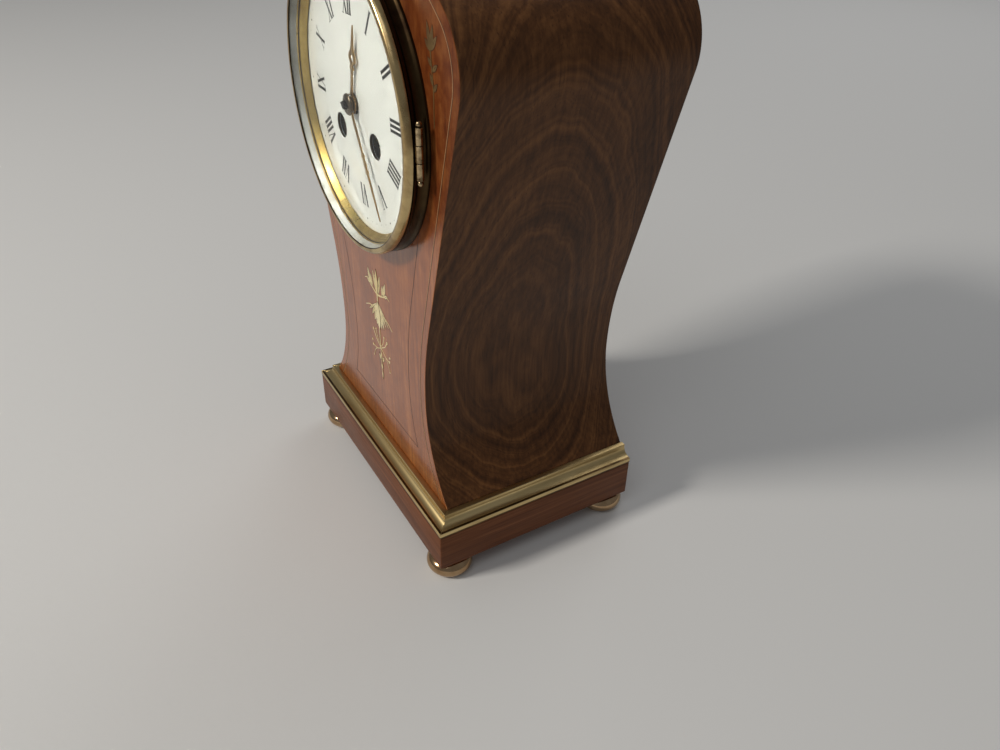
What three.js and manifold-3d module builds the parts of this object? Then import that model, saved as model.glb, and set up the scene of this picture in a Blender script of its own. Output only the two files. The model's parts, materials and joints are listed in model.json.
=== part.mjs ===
// A balloon mantel clock: an inlaid mahogany case on a plinth, with a round eight-day striking movement.
// Millimetres, +Z up, the dial faces -Y. y is counted from the front board's face, positive into the case,
// and the finished group is moved so that its origin is under the middle of the clock, at table height.
import * as THREE from "three";
import { mergeVertices } from "three/addons/utils/BufferGeometryUtils.js";
import Module from "manifold-3d";

const wasm = await Module();
wasm.setup();

// Fits
const GLUE = 0.05; // between pieces that are glued or seated flat
const RUN = 0.3; // radial play of pins, arbors and sleeves

// Case outline: half widths, and heights above the top of the moulding
const BASE_HALF = 64.2;
const WAIST_HALF = 45.7;
const WAIST_Z = 48.1;
const UPPER_WAIST_R = 137;
const HEAD_HALF = 79.2;
const HEAD_Z = 190.5;
const SHOULDER_R = 26.6;
const CROWN_R = 112;
const CASE_D = 96.7;
const WALL = 6;
const FRONT_T = 9;
const BACK_T = 8;
const FLOOR_T = 7;

// Plinth, moulding and feet
const PLINTH_H = 19.7;
const LEDGE = 7.8; // how far the plinth stands out from the case
const BACK_LEDGE = 0.7;
const MOULD_H = 7.8;
const MOULD_FILLET = 2.8;
const MOULD_QUIRK = 0.8;
const MOULD_BEAD_H = 1.7;
const MOULD_RUN = 5; // from the plinth's edge in to the top bead
const MITRE_GAP = 0.1;
const FOOT_H = 9.4;
const FOOT_R = 10.8;
const FOOT_INSET = 9.1;
const FOOT_PAD_R = 6;
const FOOT_STUD_R = 2;
const FOOT_STUD_L = 8;

// Dial and bezel: radii, and distances in front of the board
const DIAL_Z = 164; // dial centre above the top of the moulding
const BOARD_HOLE_R = 47;
const PAN_T = 1;
const SEAT_R = 57.3;
const SEAT_FLANGE = 1; // how far the pan's edge stands out from its ring
const SEAT_WALL = 3.1;
const SEAT_F = 4.7;
const DIAL_T = 1.8; // at its middle
const DIAL_DOME = 1.4; // how far the middle stands above the edge
const SIGHT_W = 3; // from the dial's edge in to the part of it that shows
const SIGHT_FLAT = 1.2; // flat outer rim of the sight ring
const DIAL_BORE_R = 4;
const WINDING_X = 16.6;
const WINDING_DROP = 12.6;
const WINDING_HOLE_R = 5;
const BEZEL_F = 9.6;
const BEZEL_OVER = 0.9; // how far the rim stands out from the seat's ring
const BEZEL_ROUND = 1.7; // from the rim's edge in to its flat lip
const BEZEL_LIP_T = 0.4;
const BEZEL_SWELL = 1.2; // from its back to where it is widest
const BEZEL_GAP = 0.3;
const GLASS_T = 1.2;
const GLASS_LAP = 0.7; // how far the rim's front lip covers the glass
const SLIP_T = 1.9;
const HINGE_R = 1.6;
const HINGE_PIN_R = 0.7;
const HINGE_OUT = 1.1; // hinge axis beyond the bezel's edge
const KNUCKLE_L = 7.2;
const HINGE_BALL_R = 1.3;

// Hands and motion work
const MINUTE_ANGLE = 150;
const HOUR_ANGLE = MINUTE_ANGLE / 12;
const HOUR_SHORT = 19.9; // from the hour hand's tip out to the sight ring
const MINUTE_SHORT = 4.9;
const HAND_T = 0.6;
const HAND_GAP = 0.4;
const CANNON_R = 1.6;
const HOUR_PIPE_WALL = 1.1;
const COLLET_R = 4.2;
const COLLET_H = 1.3;
const TAPER_PIN_R = 0.4;
const MOTION_DISTANCE = 12;
const CANNON_TEETH = 8;
const MINUTE_TEETH = 24;
const MINUTE_PINION_TEETH = 6;
const HOUR_TEETH = 24;
const WHEEL_T = 1.4;
const ADDENDUM = 0.9;
const DEDENDUM = 1.2;
const TOOTH_SHARE = 0.3; // half a tooth's width at its root, as a share of the pitch

// Movement
const PLATE_R = 43;
const PLATE_Y = 9;
const PLATE_T = 2;
const PLATE_GAP = 30;
const PILLAR_R = 2.2;
const PILLAR_RING = 38.5;
const PILLAR_ANGLE = 62;
const ARBOR_R = 0.8;
const GREAT_MODULE = 1.2;
const TRAIN_MODULE = 1.1;
const GREAT_TEETH = 24;
const WHEEL_TEETH = 20;
const SMALL_WHEEL_TEETH = 18;
const PIN_WHEEL_TEETH = 14;
const PINION_TEETH = 6;
const BARREL_R = 12.6;
const BARREL_L = 16;
const WINDER_R = 2.2;
const WINDER_SQUARE = 3.2;
const RATCHET_R = 6.6;
const RATCHET_TEETH = 12;
const ESCAPE_R = 8;
const ESCAPE_TEETH = 16;
const FLY_HALF = 4.5;
const FLY_L = 8;
const FLY_T = 0.8;
const COUNT_R = 8.5;
const COUNT_T = 1.2;
const COUNT_GAP = 0.5; // between the back plate and the count wheel
const COUNT_SLOT_W = 0.9;
const COUNT_SLOT_L = 2.4;
const LIFT_PINS = 8;
const LIFT_PIN_R = 0.5;
const LIFT_PIN_L = 3;
const LIFT_PIN_INSET = 2.2; // from the pin wheel's pitch circle
const CLICK_OUT = 4; // click pivot beyond the ratchet
const CRUTCH_L = 26;
const CRUTCH_T = 1.4;
const CRUTCH_HALF = 0.9;
const CRUTCH_GAP = 0.8; // between the back plate and the crutch
const FORK_L = 3;
const FORK_T = 0.8;

// Pendulum and bell
const PENDULUM_L = 115;
const ROD_HALF = 1.2;
const ROD_T = 1.2;
const BOB_R = 15;
const BOB_T = 8;
const BOB_RIM = 1.6;
const ROD_TAIL = 3; // screw below the rating nut
const NUT_R = 4;
const NUT_T = 2.5;
const BELL_R = 30;
const BELL_DEPTH = 16.5;
const BELL_WALL = 1.4;
const BELL_BOSS = 4; // radius of the flat at its crown
const BELL_CLEAR = 8; // from the pendulum rod back to the bell's rim
const BELL_FOOT_X = 16;
const BELL_FOOT_DROP = 27;
const BELL_FOOT_R = 4.5;
const BELL_FOOT_T = 2;
const BELL_ARM_HALF = 2.4;
const BELL_ARM_T = 2.5;
const BELL_ARM_CLEAR = 3; // from the arm's front to the bell's rim
const BELL_HUB_R = 2.6;
const BELL_STUD_R = 1.5;
const BELL_STUD_L = 4; // beyond the crown
const BELL_NUT_R = 3.6;
const BELL_NUT_T = 2.6;
const HAMMER_X = -36;
const HAMMER_Z = 4;
const HAMMER_R = 3;
const HAMMER_T = 5;
const HAMMER_GAP = 1;
const HAMMER_ANGLE = 150; // bearing of the head from the dial's centre
const HAMMER_ARM_HALF = 1;
const HAMMER_ARM_T = 2;
const HAMMER_ARM_IN = 1.5; // from the head's front to the arm
const HAMMER_TAIL_HALF = 0.6;
const HAMMER_TAIL_T = 1.2;

// Suspension
const COCK_GAP = 1; // between the crutch and the cock
const COCK_T = 2;
const COCK_HALF = 11;
const COCK_LEG_W = 2.5;
const COCK_LEG_DROP = 3;
const COCK_LEG_RISE = 4;
const COCK_ARM_UP = 8; // from the pallet pivot
const COCK_ARM_H = 3.5;
const COCK_ARM_HALF = 4;
const COCK_END = 1; // arm beyond the spring
const SPRING_GAP = 2; // between the cock and the spring
const SPRING_W = 5;
const SPRING_HALF_T = 0.12;
const SPRING_SLOT_HALF = 0.4;
const SPRING_HEAD_HALF = 2;
const SPRING_HEAD_H = 2.2;
const CHOPS_HALF = 1.4;
const CHOPS_DROP = 1.8;
const CHOPS_RISE = 2.4;
const HOOK_R = 2.4;

// Back door and movement straps
const BACK_HOLE_R = 47;
const BACK_FLANGE_R = 53;
const BACK_FLANGE_T = 1.25;
const BACK_SLEEVE_T = 1.2;
const BACK_LIP_R = 39;
const BACK_LIP_T = 1.5;
const DOOR_R = 49.5;
const DOOR_T = 1.2;
const DOOR_CROWN = 1.2;
const DOOR_RIM = 3;
const DOOR_BEVEL = 2;
const DOOR_HINGE_IN = 0.5; // hinge axis inside the flange's edge
const DOOR_PIN_END = 0.6;
const KNOB_INSET = 9;
const KNOB_R = 2.8;
const KNOB_H = 3;
const KNOB_STEM_R = 1;
const DOOR_HINGE_R = 1.5;
const DOOR_KNUCKLE_L = 6;
const STRAP_T = 2;
const STRAP_HALF = 5;
const STRAP_INSET = 1; // strap inside the board's hole
const STRAP_FOOT = 3;
const STRAP_TAB = 2; // tab beyond its screw's hole
const SCREW_R = 1.3;
const SCREW_HEAD_T = 1.75;
const SCREW_L = 4; // inside the back ring's lip

const ROUND = 36; // sides of the rings in front
const BACK_ROUND = 28; // sides of the plates and the rings behind

// Worked-out levels
const PLINTH_TOP = FOOT_H + PLINTH_H;
const CASE_Z = PLINTH_TOP + MOULD_H;
const CENTRE_Z = CASE_Z + DIAL_Z;
const PLINTH_HALF = BASE_HALF + LEDGE;
const PLINTH_BACK = CASE_D + BACK_LEDGE;
const WRAP_FRONT = FRONT_T + GLUE;
const WRAP_BACK = CASE_D - BACK_T - GLUE;

const MATERIALS = {
  mahogany: standard(0x6b3219, 0.32, 0),
  mahogany_side: standard(0x2e1a10, 0.36, 0),
  brass: standard(0xb08d4a, 0.28, 1),
  gilt: standard(0xd9b45c, 0.22, 1),
  silvered: standard(0xd6d6d0, 0.25, 1),
  steel: standard(0x8b8d92, 0.3, 1),
  enamel: standard(0xf2f0ea, 0.15, 0),
  glass: standard(0xe8f0ee, 0.05, 0),
};
MATERIALS.glass.transparent = true;
MATERIALS.glass.opacity = 0.3;

function standard(color, roughness, metalness) {
  return new THREE.MeshStandardMaterial({ color, roughness, metalness });
}

// A closed three.js geometry as a solid that can be joined and cut. A profile drawn the other way round
// gives a shape that is inside out, which is turned back here.
function solid(geometry) {
  geometry.deleteAttribute("normal");
  geometry.deleteAttribute("uv");
  const merged = mergeVertices(geometry, 1e-4);
  const index = merged.index.array;
  const kept = [];
  for (let i = 0; i < index.length; i += 3) {
    const [a, b, c] = [index[i], index[i + 1], index[i + 2]];
    if (a !== b && b !== c && a !== c) kept.push(a, b, c);
  }
  const made = manifold(merged.attributes.position.array, kept);
  return made.volume() > 0 ? made : manifold(merged.attributes.position.array, kept.reverse());
}

function manifold(vertProperties, corners) {
  return new wasm.Manifold(new wasm.Mesh({ numProp: 3, vertProperties, triVerts: new Uint32Array(corners) }));
}

function join(first, ...others) {
  return others.reduce((whole, part) => whole.add(part), first);
}

function cut(first, ...tools) {
  return tools.reduce((whole, tool) => whole.subtract(tool), first);
}

// Basic bodies. y0 is always the front end and y1 the back end.
function box(x0, x1, y0, y1, z0, z1) {
  const geometry = new THREE.BoxGeometry(x1 - x0, y1 - y0, z1 - z0);
  return solid(geometry.translate((x0 + x1) / 2, (y0 + y1) / 2, (z0 + z1) / 2));
}

function rod(radius, y0, y1, [x, z] = [0, 0], sides = 8) {
  const geometry = new THREE.CylinderGeometry(radius, radius, y1 - y0, sides);
  return solid(geometry.translate(x, (y0 + y1) / 2, z));
}

function post(radius, z0, z1, [x, y], sides = 8) {
  const geometry = new THREE.CylinderGeometry(radius, radius, z1 - z0, sides);
  return solid(geometry.rotateX(Math.PI / 2).translate(x, y, (z0 + z1) / 2));
}

// A flat outline in the x, z plane, thickened from y0 to y1.
function plate(shape, y0, y1, curveSegments = 8) {
  const geometry = new THREE.ExtrudeGeometry(shape, { depth: y1 - y0, bevelEnabled: false, curveSegments });
  return solid(geometry.rotateX(Math.PI / 2).translate(0, y1, 0));
}

// A profile of [radius, y] corners turned about the dial's axis.
function turned(profile, segments) {
  const points = profile.map(([radius, y]) => new THREE.Vector2(radius, y));
  return solid(new THREE.LatheGeometry(points, segments));
}

function ring(profile, segments) {
  return turned([...profile, profile[0]], segments);
}

function circleHole(shape, radius, [x, z] = [0, 0]) {
  shape.holes.push(new THREE.Path().absarc(x, z, radius, 0, Math.PI * 2, true));
}

function mirrored([x, z]) {
  return [-x, z];
}

// A point at a distance and an angle in degrees from another one.
function towards([x, z], distance, degrees) {
  const angle = THREE.MathUtils.degToRad(degrees);
  return [x + distance * Math.cos(angle), z + distance * Math.sin(angle)];
}

function bearing([x0, z0], [x1, z1]) {
  return THREE.MathUtils.radToDeg(Math.atan2(z1 - z0, x1 - x0));
}

// The scene graph: the case stands in the clock, and the dial group has its origin at the dial's centre.
const clock = new THREE.Group();
const caseGroup = new THREE.Group();
const dialGroup = new THREE.Group();
caseGroup.position.z = CASE_Z;
dialGroup.position.z = CENTRE_Z;
clock.add(caseGroup, dialGroup);

function add(group, name, body, material) {
  const mesh = body.getMesh();
  const geometry = new THREE.BufferGeometry();
  geometry.setAttribute("position", new THREE.BufferAttribute(mesh.vertProperties, 3));
  geometry.setIndex(new THREE.BufferAttribute(mesh.triVerts, 1));
  geometry.computeVertexNormals();
  const piece = new THREE.Mesh(geometry, MATERIALS[material]);
  piece.name = name;
  group.add(piece);
}

// Balloon outline: a concave sweep to the waist, a wider one above it, a straight flank, a round shoulder
// and a crown arch, all tangent. An inset moves every arc inwards by the same distance.
const FLARE = BASE_HALF - WAIST_HALF;
const LOWER_R = (FLARE ** 2 + WAIST_Z ** 2) / (2 * FLARE);
const SHOULDER_X = HEAD_HALF - SHOULDER_R;
const FLANK = flankAngle();
const CROWN_Z = HEAD_Z - Math.sqrt((CROWN_R - SHOULDER_R) ** 2 - SHOULDER_X ** 2);
const CROWN_START = Math.atan2(HEAD_Z - CROWN_Z, SHOULDER_X);

function flankAngle() {
  const across = WAIST_HALF + UPPER_WAIST_R - SHOULDER_X;
  const up = HEAD_Z - WAIST_Z;
  const reach = Math.acos((SHOULDER_R + UPPER_WAIST_R) / Math.hypot(across, up));
  return Math.atan2(up, across) - reach;
}

function arc(x, z, radius, from, to, steps) {
  return Array.from({ length: steps + 1 }, (_, i) => {
    const angle = from + ((to - from) * i) / steps;
    return new THREE.Vector2(x + radius * Math.cos(angle), z + radius * Math.sin(angle));
  });
}

function baseHalf(inset) {
  return WAIST_HALF + LOWER_R - Math.sqrt((LOWER_R + inset) ** 2 - WAIST_Z ** 2);
}

function balloon(inset) {
  const lower = LOWER_R + inset;
  const start = Math.PI + Math.asin(WAIST_Z / lower);
  const right = [
    new THREE.Vector2(baseHalf(inset), -MOULD_H + GLUE),
    ...arc(WAIST_HALF + LOWER_R, WAIST_Z, lower, start, Math.PI, 6),
    ...arc(WAIST_HALF + UPPER_WAIST_R, WAIST_Z, UPPER_WAIST_R + inset, Math.PI, Math.PI - FLANK, 3).slice(1),
    ...arc(SHOULDER_X, HEAD_Z, SHOULDER_R - inset, -FLANK, CROWN_START, 6),
    ...arc(0, CROWN_Z, CROWN_R - inset, CROWN_START, Math.PI / 2, 6).slice(1),
  ];
  const left = right.slice(0, -1).map(({ x, y }) => new THREE.Vector2(-x, y));
  return [...right, ...left.reverse()];
}

function board(holeRadius) {
  const shape = new THREE.Shape(balloon(0));
  circleHole(shape, holeRadius, [0, DIAL_Z]);
  return shape;
}

function makeCase() {
  const wrap = new THREE.Shape([...balloon(0), ...balloon(WALL).reverse()]);
  const floorHalf = baseHalf(WALL) - GLUE;
  const floorZ = -MOULD_H + GLUE;
  const front = plate(board(BOARD_HOLE_R), 0, FRONT_T, ROUND / 2);
  const back = plate(board(BACK_HOLE_R), CASE_D - BACK_T, CASE_D, ROUND / 2);
  add(caseGroup, "front_board", front, "mahogany");
  add(caseGroup, "back_board", back, "mahogany_side");
  add(caseGroup, "case_wrap", plate(wrap, WRAP_FRONT, WRAP_BACK), "mahogany_side");
  const floor = box(-floorHalf, floorHalf, WRAP_FRONT, WRAP_BACK, floorZ, floorZ + FLOOR_T);
  add(caseGroup, "case_floor", floor, "mahogany_side");
}

// The moulding's section: u runs in from the plinth's edge and h runs up from its top.
function mouldingSection() {
  const beadZ = MOULD_H - MOULD_BEAD_H;
  const section = new THREE.Shape();
  section.moveTo(0, GLUE);
  section.lineTo(0, MOULD_FILLET);
  section.lineTo(MOULD_QUIRK, MOULD_FILLET);
  const across = MOULD_RUN - MOULD_QUIRK;
  section.absellipse(MOULD_QUIRK, beadZ, across, beadZ - MOULD_FILLET, -Math.PI / 2, 0, false);
  section.lineTo(MOULD_RUN, MOULD_H);
  section.lineTo(LEDGE - GLUE, MOULD_H);
  section.lineTo(LEDGE - GLUE, GLUE);
  return section;
}

function mouldingRun(length, frame) {
  const options = { depth: length, bevelEnabled: false, curveSegments: 4 };
  const geometry = new THREE.ExtrudeGeometry(mouldingSection(), options);
  return solid(geometry.translate(0, 0, -length / 2).applyMatrix4(frame));
}

function mitrePrism(corners) {
  const shape = new THREE.Shape(corners.map(([x, y]) => new THREE.Vector2(x, y)));
  const geometry = new THREE.ExtrudeGeometry(shape, { depth: MOULD_H * 2, bevelEnabled: false });
  return solid(geometry.translate(0, 0, PLINTH_TOP - MOULD_H / 2));
}

function makePlinth() {
  const studs = footPlaces().map(([x, y]) =>
    post(FOOT_STUD_R + RUN, FOOT_H - 1, FOOT_H + FOOT_STUD_L + RUN, [x, y]),
  );
  const block = box(-PLINTH_HALF, PLINTH_HALF, -LEDGE, PLINTH_BACK, FOOT_H, PLINTH_TOP);
  add(clock, "plinth", cut(block, ...studs), "mahogany");

  const toX = new THREE.Matrix4().set(0, 0, 1, 0, 1, 0, 0, -LEDGE, 0, 1, 0, PLINTH_TOP, 0, 0, 0, 1);
  const front = mouldingRun(2 * PLINTH_HALF, toX).intersect(
    mitrePrism([
      [-PLINTH_HALF + MITRE_GAP, -LEDGE],
      [PLINTH_HALF - MITRE_GAP, -LEDGE],
      [BASE_HALF - MITRE_GAP, 0],
      [-BASE_HALF + MITRE_GAP, 0],
    ]),
  );
  add(clock, "moulding_front", front, "brass");

  const middle = (PLINTH_BACK - LEDGE) / 2;
  for (const [side, name] of [
    [1, "moulding_right"],
    [-1, "moulding_left"],
  ]) {
    const along = new THREE.Matrix4().set(
      ...[-side, 0, 0, side * PLINTH_HALF],
      ...[0, 0, 1, middle],
      ...[0, 1, 0, PLINTH_TOP],
      ...[0, 0, 0, 1],
    );
    const run = mouldingRun(PLINTH_BACK + LEDGE, along);
    const mitre = mitrePrism([
      [side * PLINTH_HALF, -LEDGE + MITRE_GAP],
      [side * PLINTH_HALF, PLINTH_BACK],
      [side * BASE_HALF, PLINTH_BACK],
      [side * BASE_HALF, MITRE_GAP],
    ]);
    add(clock, name, run.intersect(mitre), "brass");
  }
}

function footPlaces() {
  const x = PLINTH_HALF - FOOT_INSET;
  const front = FOOT_INSET - LEDGE;
  const back = PLINTH_BACK - FOOT_INSET;
  return [
    [-x, front, "foot_front_left"],
    [x, front, "foot_front_right"],
    [-x, back, "foot_back_left"],
    [x, back, "foot_back_right"],
  ];
}

// A flattened bun with a neck and a stud that goes up into the plinth.
function makeFeet() {
  const half = FOOT_H / 2.2;
  const bulge = arc(0, 0, 1, -Math.PI / 2, THREE.MathUtils.degToRad(70), 5).map(
    ({ x, y }) => new THREE.Vector2(FOOT_PAD_R + (FOOT_R - FOOT_PAD_R) * x, half + half * y),
  );
  const neck = bulge.at(-1).x;
  const top = FOOT_H - GLUE;
  const profile = [
    new THREE.Vector2(0, 0),
    ...bulge,
    new THREE.Vector2(neck, top),
    new THREE.Vector2(FOOT_STUD_R, top),
    new THREE.Vector2(FOOT_STUD_R, FOOT_H + FOOT_STUD_L),
    new THREE.Vector2(0, FOOT_H + FOOT_STUD_L),
  ];
  for (const [x, y, name] of footPlaces()) {
    const geometry = new THREE.LatheGeometry(profile, 14).rotateX(Math.PI / 2).translate(x, y, 0);
    add(clock, name, solid(geometry), "brass");
  }
}

// Distances in front of the board, along the dial's axis
const PAN_F = GLUE + PAN_T;
const DIAL_BACK_F = PAN_F + GLUE;
const DIAL_F = DIAL_BACK_F + DIAL_T;
const SEAT_IN = SEAT_R - SEAT_WALL;
const SEAT_FLANGE_R = SEAT_R + SEAT_FLANGE;
const DIAL_R = SEAT_IN - RUN;
const DIAL_SIGHT_R = DIAL_R - SIGHT_W;
const HOUR_HAND_L = DIAL_SIGHT_R - HOUR_SHORT;
const MINUTE_HAND_L = DIAL_SIGHT_R - MINUTE_SHORT;
const BEZEL_R = SEAT_R + BEZEL_OVER;
const BEZEL_LIP_R = BEZEL_R - BEZEL_ROUND;
const BEZEL_BACK_F = SEAT_F + BEZEL_GAP;
const GLASS_F = BEZEL_F - BEZEL_LIP_T;
const GLASS_BACK_F = GLASS_F - GLASS_T;
const GLASS_R = BEZEL_LIP_R - 2 * RUN;
const HOUR_HAND_F = DIAL_F + HAND_GAP + RUN;
const MINUTE_HAND_F = HOUR_HAND_F + HAND_T + HAND_GAP;
const COLLET_F = MINUTE_HAND_F + HAND_T + GLUE;
const PIPE_F = COLLET_F + COLLET_H + 2 * TAPER_PIN_R + RUN;
const HINGE_X = BEZEL_R + HINGE_OUT;
const HINGE_Y = -(SEAT_F + BEZEL_BACK_F) / 2;
const GOING = [WINDING_X, -WINDING_DROP];
const STRIKE = mirrored(GOING);
const WINDERS = [GOING, STRIKE];

function knuckle(radius, z0, z1, grow = 0) {
  return post(radius + grow, z0 - grow, z1 + grow, [HINGE_X, HINGE_Y]);
}

const HINGE_HALF = 1.5 * KNUCKLE_L + BEZEL_GAP;
const SEAT_KNUCKLES = [
  [-HINGE_HALF, -HINGE_HALF + KNUCKLE_L],
  [HINGE_HALF - KNUCKLE_L, HINGE_HALF],
];
const BEZEL_KNUCKLE = [-KNUCKLE_L / 2, KNUCKLE_L / 2];

// The fixed half of the bezel: a dial pan with a raised ring, and the outer knuckles of the hinge.
function makeSeat() {
  const pan = ring(
    [
      [SEAT_FLANGE_R, -GLUE],
      [SEAT_FLANGE_R, -PAN_F],
      [SEAT_R, -PAN_F - RUN],
      [SEAT_R, -SEAT_F],
      [SEAT_IN, -SEAT_F],
      [SEAT_IN, -PAN_F],
      [DIAL_BORE_R, -PAN_F],
      [DIAL_BORE_R, -GLUE],
    ],
    ROUND,
  );
  const leafX = SEAT_R - SEAT_WALL / 2;
  const knuckles = SEAT_KNUCKLES.map(([z0, z1]) =>
    join(knuckle(HINGE_R, z0, z1), box(leafX - HINGE_R, HINGE_X, -SEAT_F, -SEAT_F / 2, z0, z1)),
  );
  const feet = pillarPlaces().map((place) => rod(PILLAR_R, -PAN_F / 2, PLATE_Y - GLUE, place));
  const holes = WINDERS.map((place) => rod(WINDING_HOLE_R, -SEAT_F, PAN_T, place, 14));
  const room = knuckle(HINGE_R, ...BEZEL_KNUCKLE, BEZEL_GAP);
  const pin = knuckle(HINGE_PIN_R + RUN, -HINGE_HALF - 1, HINGE_HALF + 1);
  add(dialGroup, "bezel_seat", cut(join(pan, ...knuckles, ...feet), ...holes, room, pin), "brass");
}

// The enamel is slightly domed, so its edge lies deeper than its middle.
function enamelAt(radius) {
  return -DIAL_F + DIAL_DOME * (radius / DIAL_R) ** 2;
}

function makeDial() {
  const inner = [3, 2, 1].map((i) => DIAL_BORE_R + ((DIAL_SIGHT_R - DIAL_BORE_R) * i) / 4);
  const face = [DIAL_R, DIAL_SIGHT_R, ...inner, DIAL_BORE_R].map((radius) => [radius, enamelAt(radius)]);
  const disc = ring([[DIAL_R, -DIAL_BACK_F], ...face, [DIAL_BORE_R, -DIAL_BACK_F]], ROUND);
  const holes = WINDERS.map((place) => rod(WINDING_HOLE_R, -SEAT_F, PAN_T, place, 14));
  add(dialGroup, "dial", cut(disc, ...holes), "enamel");

  const sight = ring(
    [
      [DIAL_R, enamelAt(DIAL_R) - GLUE],
      [DIAL_R, -SEAT_F],
      [DIAL_R - SIGHT_FLAT, -SEAT_F],
      [DIAL_SIGHT_R, enamelAt(DIAL_SIGHT_R) - RUN],
      [DIAL_SIGHT_R, enamelAt(DIAL_SIGHT_R) - GLUE],
    ],
    ROUND,
  );
  add(dialGroup, "sight_ring", sight, "gilt");
}

// The opening half: a rounded rim with the middle knuckle, the glass, and the pale slip behind the glass.
function makeBezel() {
  const swell = BEZEL_BACK_F + BEZEL_SWELL;
  const low = THREE.MathUtils.degToRad(-60);
  const crown = arc(0, 0, 1, low, Math.PI / 2, 5).map(({ x, y }) => {
    const rise = y > 0 ? BEZEL_F - swell : BEZEL_SWELL / -Math.sin(low);
    return [BEZEL_LIP_R + (BEZEL_R - BEZEL_LIP_R) * x, -swell - rise * y];
  });
  const rim = ring(
    [
      ...crown,
      [GLASS_R - GLASS_LAP, -BEZEL_F],
      [GLASS_R - GLASS_LAP, -GLASS_F - GLUE],
      [GLASS_R + RUN, -GLASS_F - GLUE],
      [GLASS_R + RUN, -BEZEL_BACK_F],
    ],
    ROUND,
  );
  const leaf = box(BEZEL_LIP_R, HINGE_X, -swell, -BEZEL_BACK_F, ...BEZEL_KNUCKLE);
  const rooms = SEAT_KNUCKLES.map(([z0, z1]) => knuckle(HINGE_R, z0, z1, BEZEL_GAP));
  const pin = knuckle(HINGE_PIN_R + RUN, -HINGE_HALF, HINGE_HALF);
  const body = cut(join(rim, leaf, knuckle(HINGE_R, ...BEZEL_KNUCKLE)), ...rooms, pin);
  add(dialGroup, "bezel_ring", body, "brass");
  add(dialGroup, "bezel_glass", rod(GLASS_R, -GLASS_F, -GLASS_BACK_F, CENTRE, ROUND), "glass");

  const slip = ring(
    [
      [GLASS_R, -GLASS_BACK_F + GLUE],
      [GLASS_R, -BEZEL_BACK_F],
      [GLASS_R - SLIP_T, -BEZEL_BACK_F],
      [GLASS_R - RUN, -GLASS_BACK_F + GLUE],
    ],
    ROUND,
  );
  add(dialGroup, "glass_slip", slip, "silvered");

  const ball = new THREE.SphereGeometry(HINGE_BALL_R, 8, 4);
  const reach = HINGE_HALF + HINGE_BALL_R + GLUE;
  const top = solid(ball.clone().translate(HINGE_X, HINGE_Y, reach));
  const bottom = solid(ball.clone().translate(HINGE_X, HINGE_Y, -reach));
  add(dialGroup, "bezel_hinge_pin", join(knuckle(HINGE_PIN_R, -reach, reach), top, bottom), "brass");
}

// A hand's outline from half widths at distances from the centre, turned clockwise from XII.
function handShape(stations, hubRadius, degrees) {
  const right = stations.map(([r, w]) => new THREE.Vector2(w, r));
  const left = stations.map(([r, w]) => new THREE.Vector2(-w, r)).reverse();
  const hub = arc(0, 0, hubRadius, Math.PI * 0.6, Math.PI * 2.4, 14);
  const angle = -THREE.MathUtils.degToRad(degrees);
  const points = [...right, ...left, ...hub].map((point) => point.rotateAround(new THREE.Vector2(), angle));
  return new THREE.Shape(points);
}

const HOUR_PIPE_IN = CANNON_R + RUN;
const HOUR_PIPE_R = HOUR_PIPE_IN + HOUR_PIPE_WALL;

function makeHands() {
  const hourHub = HOUR_PIPE_R + RUN + HAND_T;
  const hour = handShape(
    [
      [hourHub, 0.9],
      [HOUR_HAND_L * 0.44, 0.8],
      [HOUR_HAND_L * 0.47, 1.8],
      [HOUR_HAND_L * 0.5, 1],
      [HOUR_HAND_L * 0.56, 2.7],
      [HOUR_HAND_L * 0.62, 2.9],
      [HOUR_HAND_L * 0.7, 1.3],
      [HOUR_HAND_L * 0.75, 0.9],
      [HOUR_HAND_L, 0.25],
    ],
    hourHub,
    HOUR_ANGLE,
  );
  circleHole(hour, HOUR_PIPE_R + RUN);
  circleHole(hour, 1.3, towards([0, 0], HOUR_HAND_L * 0.6, 90 - HOUR_ANGLE));
  add(dialGroup, "hour_hand", plate(hour, -HOUR_HAND_F - HAND_T, -HOUR_HAND_F, 5), "gilt");

  const minuteHub = CANNON_R + RUN + 2 * HAND_T;
  const minute = handShape(
    [
      [minuteHub, 0.8],
      [MINUTE_HAND_L * 0.41, 0.7],
      [MINUTE_HAND_L * 0.435, 1.6],
      [MINUTE_HAND_L * 0.46, 0.7],
      [MINUTE_HAND_L * 0.52, 1.1],
      [MINUTE_HAND_L * 0.55, 0.7],
      [MINUTE_HAND_L * 0.57, 1.6],
      [MINUTE_HAND_L * 0.595, 0.6],
      [MINUTE_HAND_L, 0.2],
    ],
    minuteHub,
    MINUTE_ANGLE,
  );
  circleHole(minute, CANNON_R + RUN);
  add(dialGroup, "minute_hand", plate(minute, -MINUTE_HAND_F - HAND_T, -MINUTE_HAND_F, 5), "gilt");

  const dome = arc(0, 0, 1, 0, Math.PI / 2, 4).map(({ x, y }) => [
    CANNON_R + RUN + (COLLET_R - CANNON_R - RUN) * x,
    -COLLET_F - COLLET_H * y,
  ]);
  add(dialGroup, "hand_collet", ring([[CANNON_R + RUN, -COLLET_F], ...dome], 14), "brass");

  const pinF = COLLET_F + COLLET_H + TAPER_PIN_R + GLUE;
  const pin = new THREE.CylinderGeometry(TAPER_PIN_R, TAPER_PIN_R * 0.7, 4 * CANNON_R, 8);
  const across = solid(pin.rotateZ(Math.PI / 2).translate(0, -pinF, 0));
  add(dialGroup, "hand_pin", across, "steel");
}

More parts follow.
